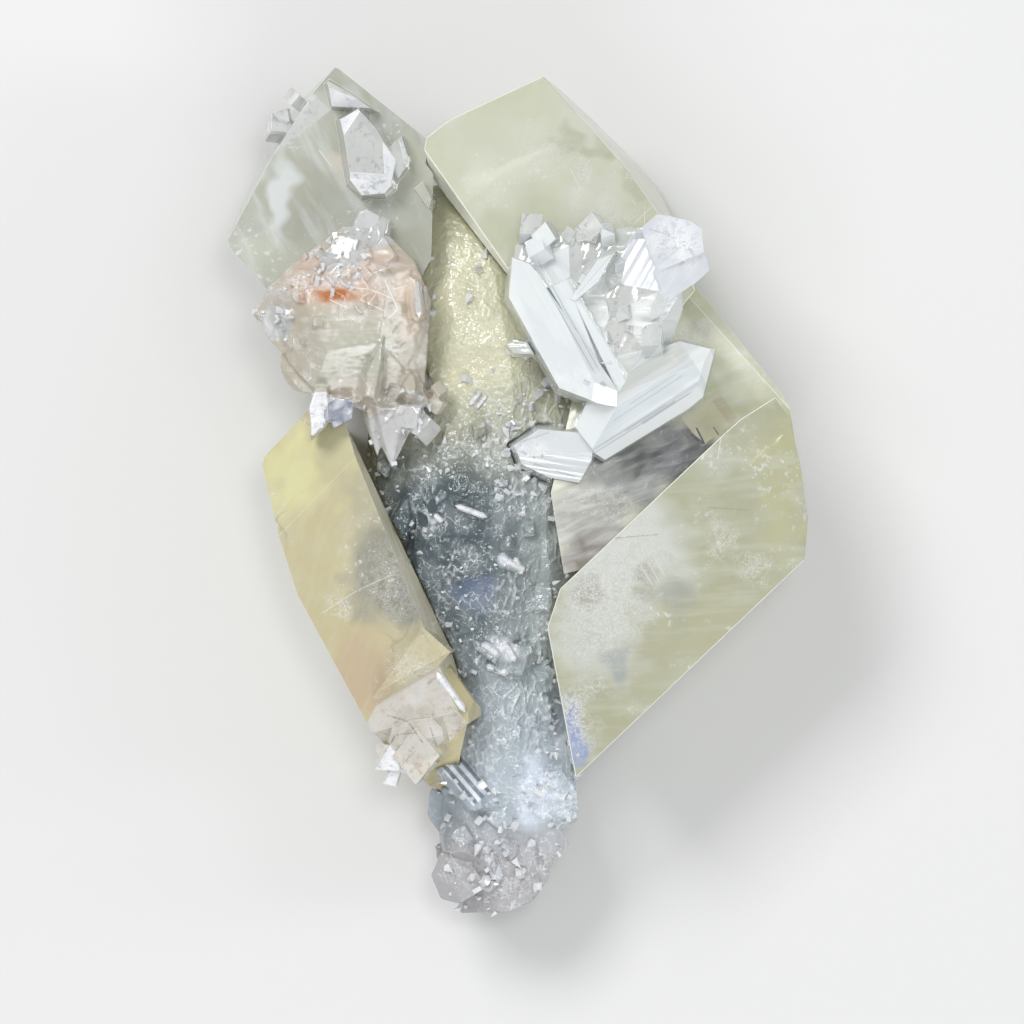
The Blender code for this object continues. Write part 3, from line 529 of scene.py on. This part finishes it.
# Lower left crystal
# The yellow crystal at the left: a painted glow, brighter yellow, marks where light comes through it.
# It has a smoky grey window, a long bright ridge, and a knot of small clear crystals at its foot.
lower_left = polished("lower_left", "lower_left_crystal", FINE_EDGE_WIDTH)
lower_left.data.materials.append(
    calcite(
        "lower_left_finish", (0.76, 0.69, 0.43), (0.84, 0.80, 0.62),
        patches=[
            # Painted glow: the bright yellow patch where light comes through the crystal.
            ((-34, 3, 28), (6, 9, 30), (0.97, 0.94, 0.52), 0.9),
            ((-27, 8, 28), (4, 7, 30), (0.82, 0.80, 0.52), 0.6),
            ((-20.8, -11, 28), (7, 11, 30), (0.35, 0.36, 0.32), 0.85),
            ((-17.0, -16, 28), (3, 6, 30), (0.27, 0.29, 0.30), 0.7),
            ((-24.5, -3, 28), (3.4, 8, 30), (0.58, 0.57, 0.44), 0.6),
            ((-24, -27, 28), (8, 8, 30), (0.76, 0.60, 0.42), 0.8),
            ((-12, -44, 28), (5, 6, 30), (0.74, 0.68, 0.44), 0.6),
        ],
        sparkle=[((-27.4, -17, 28), (3, 2.4, 30), 0.8), ((-15, -26, 28), (5, 4, 30), 0.8),
                 ((-19, -13, 28), (6, 9, 30), 0.4)],
        lines=[
            ((-30.0, -18.2), (-24.4, -14.6), 0.24, (0.92, 0.92, 0.82), 0.6),
            ((-24.4, -14.6), (-19.0, -12.2), 0.20, (0.88, 0.89, 0.84), 0.6),
            ((-26.6, -16.0), (-25.8, -17.6), 0.22, (0.34, 0.34, 0.30), 0.7),
            ((-23.6, 2.0), (-20.4, 8.0), 0.18, (0.50, 0.48, 0.32), 0.6),
        ],
        grain=(70, 5), streak=((0.96, 0.94, 0.80), 0.12), crack=((0.30, 0.28, 0.20), 0.35),
        crack_size=75.0, clear_share=0.48, absorb=((0.92, 0.88, 0.60), 4.0),
    )
)
lower_left.data.materials.append(painted_highlight_edge)
lower_left.data.materials.append(
    calcite(
        "knot_finish", (0.88, 0.80, 0.71), (1.0, 0.97, 0.94), clear_share=0.55, veil=1.0, gloss=0.02,
        haze=0.04, relief=0.2, grain=(30, 3), cloud_size=240.0, fleck=0,
        sparkle=[(*ALL_OVER, 0.7)], flaw_size=600.0, facet_shade=(0.66, 0.59, 0.52),
        # Painted shade: dark outlines round the small clear crystals stand in for the dark edges that
        # refraction shows.
        lines=[
            (start, end, 0.24, (0.34, 0.30, 0.27), 0.8)
            for start, end in (
                ((-20.0, -33.6), (-16.6, -34.6)), ((-16.6, -34.6), (-14.4, -37.8)),
                ((-18.6, -36.6), (-20.2, -39.4)), ((-13.4, -35.2), (-12.2, -38.6)),
                ((-18.6, -36.6), (-15.6, -36.2)), ((-15.4, -38.8), (-17.6, -41.0)),
            )
        ],
    )
)
lower_left.data.materials.append(white_calcite)
lower_left.data.materials.append(
    calcite("ridge_finish", (0.80, 0.77, 0.60), (0.93, 0.92, 0.80), grain=(112, 8), clear_share=0.5)
)
finish_faces(lower_left, 4, (-16.0, -12.0), 34.0, (0.88, 0.36, 0.27))
finish_faces(lower_left, 3, (-19.2, -42.4), 2.8, lowest=24.0)
finish_faces(lower_left, 2, (-15.0, -37.4), 7.6, lowest=26.4)

# Peach crystals
# A rounded, etched group of pinkish crystals with a rust stain, crazed by fine white cracks. The
# small crystals round its rim are clear.


def bake(piece):
    """Gives a piece the plain mesh that its modifiers make, and takes them off."""
    bpy.context.view_layer.update()
    graph = bpy.context.evaluated_depsgraph_get()
    result = bpy.data.meshes.new_from_object(piece.evaluated_get(graph))
    piece.modifiers.clear()
    piece.data = result


def grown(name, node, voxel, ease=0):
    """A node's shape as one fine closed skin, for pieces that are etched all over."""
    bm = bmesh.new()
    bm.from_mesh(bpy.data.objects[node].data)
    bmesh.ops.remove_doubles(bm, verts=bm.verts[:], dist=0.000001)
    piece = piece_from(bm, name)
    skin = piece.modifiers.new("skin", "REMESH")
    skin.mode = "VOXEL"
    skin.voxel_size = voxel
    if ease:
        soften = piece.modifiers.new("soften", "SMOOTH")
        soften.iterations = ease
        soften.factor = 0.5
    bake(piece)
    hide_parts(node)
    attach(piece, "root")
    return piece


def etch(piece, depth, cell):
    """Pushes a skin in and out by depth, in ripples about cell across."""
    moved = []
    for vert in piece.data.vertices:
        push = noise.noise(vert.co / cell) + 0.5 * noise.noise(vert.co * 2.3 / cell)
        moved.extend(vert.co + vert.normal * push * depth)
    piece.data.vertices.foreach_set("co", moved)
    piece.data.update()


RUST = (0.50, 0.15, 0.02)
CRACK_WHITE = (1.0, 0.97, 0.92)

peach = grown("peach", "peach_crystals", 0.00024, 1)
etch(peach, 0.00008, 0.0020)
peach.data.materials.append(
    calcite(
        "peach_finish", (0.56, 0.51, 0.41), (0.68, 0.65, 0.56),
        patches=[
            ((-27.0, 33.6, 33), (13, 6, 12), (0.70, 0.56, 0.47), 0.8),
            ((-27.6, 31.4, 33), (6.8, 3.4, 8), (0.72, 0.42, 0.26), 0.6),
            ((-27.6, 31.2, 33), (4.6, 2.2, 8), RUST, 1.0),
            ((-15.5, 29, 31), (3, 6, 8), (0.88, 0.70, 0.55), 0.6),
            ((-25, 21, 33), (8, 6, 12), (0.56, 0.57, 0.47), 0.7),
            ((-37, 27, 30), (3, 5, 12), (0.54, 0.50, 0.48), 0.5),
            ((-26, 14, 33), (8, 3, 12), (0.68, 0.58, 0.49), 0.5),
        ],
        lines=[
            (start, end, 0.15, CRACK_WHITE, 0.8)
            for start, end in (
                ((-24.8, 34.4), (-22.5, 31.0)), ((-22.5, 31.0), (-18.7, 29.5)),
                ((-22.2, 33.3), (-19.2, 34.4)), ((-20.2, 32.5), (-18.2, 28.0)),
                ((-24.0, 29.5), (-20.2, 27.7)), ((-28.6, 29.5), (-25.5, 28.0)),
                ((-21.4, 30.4), (-22.6, 28.6)), ((-24.8, 31.2), (-22.5, 31.0)),
                ((-18.9, 31.0), (-16.8, 31.6)), ((-18.2, 28.0), (-19.6, 26.6)),
            )
        ],
        sparkle=[((-27, 35, 33), (5, 3, 12), 0.9), ((-33, 31.6, 33), (2.4, 2.0, 12), 0.9),
                 ((-18, 15, 33), (5, 3, 12), 0.5)],
        clear_share=0.35, veil=0.7, crack=(CRACK_WHITE, 0.7), crack_size=240.0, gloss=0.20,
        relief=0.25,
    )
)
peach.data.materials.append(clear_calcite)
peach.data.materials.append(white_calcite)
peach.data.materials.append(
    calcite("blue_grey_calcite", (0.30, 0.33, 0.42), (0.88, 0.90, 0.96), clear_share=0.4, veil=1.0,
            gloss=0.03, cloud_size=420.0, fleck=0)
)
for clear_centre, clear_reach in (
    ((-19.4, 8.4), 4.4), ((-15.4, 10.6), 3.4), ((-22.2, 41.4), 4.4), ((-28.0, 35.6), 2.0),
    ((-25.8, 36.4), 2.4), ((-36.8, 26.0), 2.6),
):
    finish_faces(peach, 1, clear_centre, clear_reach, lowest=12.0)
finish_faces(peach, 2, (-30.2, 12.2), 3.4, lowest=28.4)
finish_faces(peach, 3, (-26.8, 12.0), 2.6, lowest=27.0, only=(0, 2))

# White blades
# Flat white striated blades and small clear points on a broad clear crystal. The blades mirror the
# softbox, and their long edges are bright with the painted highlight of the edge facets.


def finish_blade(piece, number, centre, bearing, half_length, half_width, lowest):
    """Gives the faces of one blade, inside a turned rectangle and above lowest, to another slot."""
    turn = math.radians(bearing)
    along = Vector((math.cos(turn), math.sin(turn)))
    across = Vector((-along.y, along.x))
    for face in piece.data.polygons:
        offset = face.center.xy * 1000 - Vector(centre)
        inside = abs(offset.dot(along)) < half_length and abs(offset.dot(across)) < half_width
        if inside and face.center.z * 1000 > lowest and face.material_index == 0:
            face.material_index = number


STRIA = (0.52, 0.57, 0.63)

blades = polished("blades", "white_blades", FINE_EDGE_WIDTH)
blades.data.materials.append(
    calcite(
        "blade_bed_finish", (0.74, 0.77, 0.74), (0.88, 0.91, 0.91), clear_share=0.5, veil=0.8,
        sparkle=[((14, 32, 34), (6, 3.4, 12), 0.8), ((12.4, 26, 34), (3, 3, 12), 0.7),
                 ((14, 20, 34), (2.4, 4, 12), 0.9), ((4, 39, 34), (4, 2.4, 12), 0.8),
                 ((19.6, 29.4, 34), (3, 4, 12), 0.8)],
        lines=[
            ((8.4, 34.8), (12.0, 38.8), 0.3, (0.98, 0.99, 1.0), 0.6),
            ((16.4, 37.4), (17.8, 40.0), 0.3, (0.98, 0.99, 1.0), 0.6),
        ],
        relief=0.35,
    )
)
blades.data.materials.append(painted_highlight_edge)
for blade_number, (bearing, centre, half_length, half_width, lowest, clear, bands, stria) in enumerate(
    (
        (
            -60.5, (6.6, 24.6), 16.0, 5.6, 34.0, (0.88, 0.92, 0.92), [],
            [((1.8, 35.3), (11.7, 17.9), 0.22), ((2.9, 35.4), (12.4, 18.3), 0.16),
             ((-1.6, 28.6), (5.4, 16.4), 0.18), ((9.8, 17.0), (10.8, 16.4), 0.8),
             ((12.4, 16.8), (13.2, 16.2), 0.8)],
        ),
        (
            31.8, (20.0, 14.2), 13.4, 6.2, 31.0, (0.72, 0.77, 0.79),
            [((19.2, 9.9), ((31.8, 11.0), (121.8, 1.3)), (0.98, 1.0, 1.0), 0.8),
             ((18.4, 17.6), ((31.8, 8.4), (121.8, 1.7)), (0.62, 0.60, 0.52), 0.5),
             ((29.2, 18.4), ((31.8, 1.6), (121.8, 4.4)), (0.96, 0.98, 0.98), 0.7)],
            [((18.6, 10.6), (23.9, 14.1), 0.5), ((16.0, 9.4), (22.4, 13.6), 0.3),
             ((10.6, 5.6), (26.5, 15.6), 0.24), ((5.1, 7.0), (11.4, 10.6), 0.22),
             ((14.0, 10.8), (25.0, 18.0), 0.2), ((16.6, 13.4), (24.0, 18.2), 0.14)],
        ),
        (
            -12.0, (4.6, 6.0), 8.4, 6.0, 26.0, (0.78, 0.81, 0.81), [],
            [((-0.6, 5.6), (9.4, 2.4), 0.2), ((0.2, 7.8), (4.8, 9.4), 0.2)],
        ),
        (
            60.0, (24.4, 37.2), 7.4, 6.8, 28.0, (0.76, 0.78, 0.83), [],
            [((19.6, 40.0), (27.4, 37.0), 0.2), ((21.6, 35.0), (26.6, 38.6), 0.16)],
        ),
        (
            50.0, (11.0, 33.0), 7.0, 2.6, 34.8, (0.84, 0.88, 0.88), [],
            [((8.6, 29.6), (14.4, 36.4), 0.16)],
        ),
    ),
    start=2,
):
    blades.data.materials.append(
        calcite(
            f"blade_finish_{blade_number}", clear, (0.86, 0.90, 0.93),
            windows=bands, lines=[(*mark, STRIA, 0.75) for mark in stria],
            grain=(bearing, 40), streak=((0.95, 0.97, 0.99), 0.45), grain_size=900.0,
            clear_share=0.36, veil=0.6, fleck=0.3, gloss=0.03, relief=0.12, facet_shade=(0.56, 0.60, 0.66),
            sparkle=[((24, 38, 34), (6, 5, 12), 1.0), ((1.0, 7.4, 32), (4, 3, 12), 0.9),
                     ((10, 16.6, 34), (4, 2.4, 12), 0.6)],
        )
    )
    finish_blade(blades, blade_number, centre, bearing, half_length, half_width, lowest)
blades.data.materials.append(clear_calcite)
for chip_centre, chip_reach in (
    ((3.4, 39.0), 3.6), ((12.2, 40.0), 3.4), ((16.0, 30.0), 2.6), ((15.2, 23.4), 3.0),
    ((8.4, 36.4), 2.2),
):
    finish_faces(blades, 7, chip_centre, chip_reach, lowest=28.0)

# Druse spine
# The grey spine down the middle: one crust of tiny crystals, wrinkled lengthwise, with small clear
# crystals round its foot. It is smooth and cream at the crown, slate grey in the middle.
SCALE_WIDE = 0.0017
SCALE_LONG = 0.0028
SWAY = 0.9
SWAY_CELL = 0.0050
RIDGE_HIGH = 0.00020
RIDGE_SHARE = 0.34
BREAK_CELL = 0.0055
LUMP_HIGH = 0.00026
LUMP_CELL = 0.0042
CALM_ABOVE = 0.024
CALM_REACH = 0.012
FOOT_Y = -0.050


def wrinkle(piece):
    """Raises thin ridges between long scales on the spine, and notes their height for its finish."""
    moved, heights = [], []
    for vert in piece.data.vertices:
        sway = noise.noise(vert.co / SWAY_CELL) * SWAY
        place = Vector((vert.co.x / SCALE_WIDE + sway, vert.co.y / SCALE_LONG + sway,
                        vert.co.z / SCALE_WIDE))
        near = noise.voronoi(place)[0]
        ridge = max(0.0, 1 - (near[1] - near[0]) / RIDGE_SHARE) ** 1.5
        broken = min(1.0, max(0.15, 0.6 + 1.6 * noise.noise(vert.co / BREAK_CELL)))
        calm = min(1.0, max(0.5, (CALM_ABOVE - vert.co.y) / CALM_REACH))
        if vert.co.y < FOOT_Y:
            calm = 0.3
        high = ridge * broken * calm
        lump = noise.noise(vert.co / LUMP_CELL)
        moved.extend(vert.co + vert.normal * (RIDGE_HIGH * high + LUMP_HIGH * calm * lump))
        heights.append(high)
    piece.data.vertices.foreach_set("co", moved)
    piece.data.attributes.new("ridge", "FLOAT", "POINT").data.foreach_set("value", heights)
    piece.data.update()


def crust(name):
    """The spine's finish: its colours from crown to foot, and a net of thin white wrinkles."""
    finish = bpy.data.materials.new(name)
    finish.use_nodes = True
    tree = finish.node_tree
    shader = tree.nodes["Principled BSDF"]
    place = add(tree, "ShaderNodeTexCoord").outputs["Object"]
    ridge = add(tree, "ShaderNodeAttribute", {"attribute_name": "ridge"}).outputs["Fac"]
    wander = add(tree, "ShaderNodeTexNoise", Vector=place, Scale=600.0, Detail=2.0)
    warped = vector(tree, "MULTIPLY_ADD", wander.outputs["Color"], (0.0026, 0.0026, 0.0026), place)
    drift = add(tree, "ShaderNodeTexNoise", Vector=place, Scale=120.0, Detail=2.0, Roughness=0.6)
    centred = vector(tree, "SUBTRACT", place, (0.004, 0.004, 0.004))
    zones = vector(tree, "MULTIPLY_ADD", drift.outputs["Color"], (0.008, 0.008, 0.008), centred)
    parts = add(tree, "ShaderNodeSeparateXYZ", Vector=zones)
    colour = tint(tree, span(tree, parts.outputs["X"], -0.006, 0.006), (0.060, 0.082, 0.092),
                  (0.36, 0.40, 0.40))
    colour = tint(tree, span(tree, parts.outputs["Y"], -0.018, -0.040), colour, (0.35, 0.40, 0.44))
    colour = tint(tree, span(tree, parts.outputs["Y"], -0.048, -0.056), colour, (0.35, 0.34, 0.345))
    colour = tint(tree, span(tree, parts.outputs["Y"], 0.000, 0.018), colour, (0.53, 0.52, 0.375))
    for centre, radii, shade, strength in (
        ((-6.5, -15.5, 20), (4, 3.4, 12), (0.14, 0.18, 0.28), 0.6),
        ((2.4, -46.0, 20), (4, 7, 12), (0.62, 0.67, 0.76), 0.7),
        ((-2.0, -11.0, 20), (2.2, 1.8, 12), (0.88, 0.91, 0.98), 0.9),
        ((-2.6, -23.6, 20), (3.6, 2.8, 12), (0.82, 0.82, 0.90), 0.7),
    ):
        colour = paint(tree, colour, patch(tree, zones, centre, radii), strength, shade)

    # The net of wrinkles: broken up, worn by grit, and nearly gone towards the crown.
    mottle = add(tree, "ShaderNodeTexNoise", Vector=place, Scale=210.0, Detail=3.0,
                 Roughness=0.6).outputs["Fac"]
    broken = arith(tree, "MULTIPLY", span(tree, mottle, 0.44, 0.60), 0.8)
    strip = arith(tree, "MULTIPLY", patch(tree, zones, (-3, -34, 20), (7, 24, 20), 0.7), 0.7)
    calm = span(tree, parts.outputs["Y"], 0.020, 0.006, 0.15, 1.0)
    wrinkled = arith(tree, "MULTIPLY", arith(tree, "MAXIMUM", broken, strip), calm)
    colour = paint(tree, colour, wrinkled, 0.2, (0.52, 0.56, 0.58))
    grit = add(tree, "ShaderNodeTexNoise", Vector=place, Scale=900.0, Detail=2.0).outputs["Fac"]
    worn = arith(tree, "MULTIPLY", wrinkled, span(tree, grit, 0.36, 0.50))
    stretched = vector(tree, "MULTIPLY", warped, (1.0, 0.55, 1.0))
    net = add(tree, "ShaderNodeTexVoronoi", {"feature": "DISTANCE_TO_EDGE"}, Vector=stretched,
              Scale=720.0)
    thin = span(tree, net.outputs["Distance"], 0.0, 0.050, 0.70, 0.0)
    colour = paint(tree, colour, thin, worn, (0.86, 0.89, 0.90))
    rubbed = span(tree, grit, 0.40, 0.60, 0.1, 0.6)
    colour = paint(tree, colour, span(tree, ridge, 0.4, 1.0), rubbed, (0.84, 0.87, 0.89))

    # The block at the foot is striated, light and dark by turns.
    across = vector(tree, "DOT_PRODUCT", place, (0.756, 0.655, 0))
    ribs = span(tree, arith(tree, "PINGPONG", across, 0.00064), 0.00022, 0.00042)
    ribbed = tint(tree, ribs, (0.16, 0.19, 0.24), (0.80, 0.84, 0.90))
    block = window(tree, place, (-7.95, -43.8), ((-49, 3.97), (41, 1.9)))
    colour = paint(tree, colour, block, 0.8, ribbed)
    feed(tree, shader.inputs["Base Color"], colour)
    feed(tree, shader.inputs["Roughness"], span(tree, mottle, 0.3, 0.7, 0.12, 0.34))
    bump = add(tree, "ShaderNodeBump", Strength=0.8, Distance=BUMP_HEIGHT, Height=grit)
    feed(tree, shader.inputs["Normal"], bump.outputs["Normal"])
    shader.inputs["IOR"].default_value = CALCITE_IOR
    return finish


spine = grown("spine", "druse_spine", 0.00030)
wrinkle(spine)
spine.data.materials.append(crust("spine_finish"))

# Druse points
# Tiny clear crystals, pointed or blunt, that stand on the spine and round the peach crystals. They
# grew on the crust last, thickest along the spine's right side and at its foot.


def scatter_tree():
    """Geometry Nodes: small crystals at random places on a surface, leaning every way."""
    tree = bpy.data.node_groups.new("druse_points", "GeometryNodeTree")
    for name, kind in (
        ("Geometry", "NodeSocketGeometry"), ("Per Area", "NodeSocketFloat"),
        ("Least", "NodeSocketFloat"), ("Most", "NodeSocketFloat"), ("Seed", "NodeSocketInt"),
        ("Finish", "NodeSocketMaterial"),
    ):
        tree.interface.new_socket(name, in_out="INPUT", socket_type=kind)
    tree.interface.new_socket("Geometry", in_out="OUTPUT", socket_type="NodeSocketGeometry")
    given = tree.nodes.new("NodeGroupInput").outputs
    points = add(tree, "GeometryNodeDistributePointsOnFaces", None, Mesh=given["Geometry"],
                 Density=given["Per Area"], Seed=given["Seed"])
    pointed = add(tree, "GeometryNodeMeshCone", None, Vertices=6, Radius_Top=0.0, Radius_Bottom=0.36,
                  Depth=1.0)
    blunt = add(tree, "GeometryNodeMeshCube", None, Size=(0.62, 0.44, 0.9))
    kinds = tree.nodes.new("GeometryNodeGeometryToInstance")
    tree.links.new(blunt.outputs["Mesh"], kinds.inputs["Geometry"])
    tree.links.new(pointed.outputs["Mesh"], kinds.inputs["Geometry"])
    which = add(tree, "FunctionNodeRandomValue", {"data_type": "INT"}, Seed=given["Seed"])
    which.inputs[4].default_value = 0
    which.inputs[5].default_value = 1
    lean = add(tree, "FunctionNodeRandomValue", {"data_type": "FLOAT_VECTOR"}, Seed=given["Seed"])
    lean.inputs[0].default_value = (-0.9, -0.9, 0.0)
    lean.inputs[1].default_value = (0.9, 0.9, math.tau)
    turn = tree.nodes.new("FunctionNodeRotateRotation")
    turn.rotation_space = "LOCAL"
    tree.links.new(points.outputs["Rotation"], turn.inputs[0])
    tree.links.new(lean.outputs[0], turn.inputs[1])
    size = tree.nodes.new("FunctionNodeRandomValue")
    tree.links.new(given["Least"], size.inputs[2])
    tree.links.new(given["Most"], size.inputs[3])
    placed = add(tree, "GeometryNodeInstanceOnPoints", None, Points=points.outputs["Points"],
                 Instance=kinds.outputs["Instances"], Pick_Instance=True,
                 Instance_Index=which.outputs[2], Rotation=turn.outputs[0], Scale=size.outputs[1])
    real = add(tree, "GeometryNodeRealizeInstances", None, Geometry=placed.outputs["Instances"])
    finished = add(tree, "GeometryNodeSetMaterial", None, Geometry=real.outputs["Geometry"],
                   Material=given["Finish"])
    tree.links.new(finished.outputs["Geometry"], tree.nodes.new("NodeGroupOutput").inputs["Geometry"])
    return tree


druse_scatter = scatter_tree()


def stand_points(name, ground, region, per_area, least, most, seed, finish):
    """Stands small crystals on the faces of ground that region accepts, as one plain piece."""
    bm = bmesh.new()
    bm.from_mesh(ground.data)
    outside = [f for f in bm.faces if not region(f.calc_center_median() * 1000, f.normal)]
    bmesh.ops.delete(bm, geom=outside, context="FACES")
    piece = piece_from(bm, name)
    scatter = piece.modifiers.new("scatter", "NODES")
    scatter.node_group = druse_scatter
    values = {"Per Area": per_area, "Least": least, "Most": most, "Seed": seed, "Finish": finish}
    for item in druse_scatter.interface.items_tree:
        if item.in_out == "INPUT" and item.name in values:
            scatter[item.identifier] = values[item.name]
    bake(piece)
    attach(piece, "root")


def on_top(normal):
    """Whether a face is turned up enough to be seen from the front."""
    return normal.z > 0.25


stand_points(
    "foot_points", spine, lambda place, normal: place.y < -44 and normal.z > 0.35,
    1.2e5, 0.0008, 0.0022, 3, point_calcite,
)
stand_points(
    "right_side_points", spine,
    lambda place, normal: on_top(normal) and -46 < place.y < -12 and place.x > 3.0,
    2.4e5, 0.0005, 0.0014, 5, point_calcite,
)
stand_points(
    "left_side_points", spine,
    lambda place, normal: on_top(normal) and -46 < place.y < 8 and place.x < -9.5 - 0.1 * place.y,
    1.0e5, 0.0005, 0.0014, 8, point_calcite,
)
stand_points(
    "spine_sparkles", spine, lambda place, normal: on_top(normal) and place.y < 12,
    0.25e5, 0.0004, 0.0009, 12, white_calcite,
)
stand_points(
    "crown_points", spine, lambda place, normal: on_top(normal) and 10 < place.y < 52,
    0.5e5, 0.0008, 0.0022, 15, point_calcite,
)
stand_points(
    "blade_foot_points", spine,
    lambda place, normal: on_top(normal) and (place.xy - Vector((4.0, 6.0))).length < 10.0,
    2.2e5, 0.0006, 0.0018, 17, point_calcite,
)
stand_points(
    "peach_points", peach,
    lambda place, normal: on_top(normal) and (place.xy - Vector((-27.4, 35.0))).length < 5.0,
    3.0e5, 0.0006, 0.0015, 4, point_calcite,
)
stand_points(
    "peach_rim_points", peach,
    lambda place, normal: on_top(normal) and (place.y < 16 or place.x < -35) and place.z > 22,
    1.6e5, 0.0006, 0.0015, 6, point_calcite,
)

# Lying crystals
# Thin crystals that lie where they grew, partly sunk in what is under them: a white stick and small
# white rods on the spine, a long one beside the knot, and clear rods on the peach crystals.
LIFT_SHARE = 0.2
TIP_SHARE = 0.12
ABOVE_ALL = 0.1


def laid_crystals(name, ground, marks, finish):
    """Lays six-sided crystals, pointed at both ends, on ground. marks are (start, end, wide) in mm."""
    surface = BVHTree.FromPolygons(
        [vert.co for vert in ground.data.vertices], [face.vertices[:] for face in ground.data.polygons]
    )
    bm = bmesh.new()
    for start, end, wide in marks:
        tips = []
        for spot in (start, end):
            above = Vector((spot[0] * 0.001, spot[1] * 0.001, ABOVE_ALL))
            found = surface.ray_cast(above, Vector((0, 0, -1)))[0]
            ground_point = found or surface.find_nearest(above)[0]
            tips.append(ground_point + Vector((0, 0, wide * 0.001 * LIFT_SHARE)))
        along = tips[1] - tips[0]
        side = along.cross(Vector((0, 0, 1))).normalized()
        up = side.cross(along).normalized()
        rings = []
        for share in (TIP_SHARE, 1 - TIP_SHARE):
            ring = []
            for corner in range(6):
                turn = math.tau * corner / 6
                offset = (side * math.cos(turn) + up * math.sin(turn)) * wide * 0.0005
                ring.append(bm.verts.new(tips[0] + along * share + offset))
            rings.append(ring)
        ends = [bm.verts.new(tip) for tip in tips]
        for corner in range(6):
            following = (corner + 1) % 6
            bm.faces.new((rings[0][corner], rings[0][following], rings[1][following], rings[1][corner]))
            bm.faces.new((ends[0], rings[0][following], rings[0][corner]))
            bm.faces.new((ends[1], rings[1][corner], rings[1][following]))
    bmesh.ops.recalc_face_normals(bm, faces=bm.faces[:])
    piece = piece_from(bm, name)
    piece.data.materials.append(finish)
    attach(piece, "root")


laid_crystals(
    "spine_sticks", spine,
    (
        ((-9.6, -1.7), (-4.7, -3.5), 0.9), ((-4.6, -54.9), (-2.9, -59.6), 1.9),
        ((-7.4, 13.6), (-5.6, 15.8), 0.7), ((-6.4, 13.0), (-4.7, 15.2), 0.6),
        ((-12.8, -3.0), (-11.5, -4.3), 0.9),
        ((-5.6, -22.8), (-2.8, -24.6), 1.3), ((-2.2, -22.4), (-0.4, -25.6), 1.4),
        ((-4.9, -26.2), (-1.4, -27.4), 1.3), ((-1.7, -10.2), (1.1, -11.7), 1.1),
        ((-0.5, -9.6), (0.7, -12.3), 1.0), ((1.8, 20.6), (-0.4, 22.6), 1.2),
    ),
    white_calcite,
)
laid_crystals(
    "knot_stick", lower_left, [((-12.4, -27.0), (-8.0, -33.2), 1.2)], white_calcite,
)
laid_crystals(
    "peach_rods", peach,
    (
        ((-15.5, 32.8), (-14.9, 26.6), 1.5), ((-14.2, 31.8), (-13.9, 27.6), 0.8),
        ((-29.2, 33.2), (-27.5, 31.5), 0.9), ((-27.0, 32.2), (-25.5, 31.2), 0.7),
        ((-24.6, 28.4), (-23.6, 27.2), 0.6),
    ),
    clear_calcite,
)
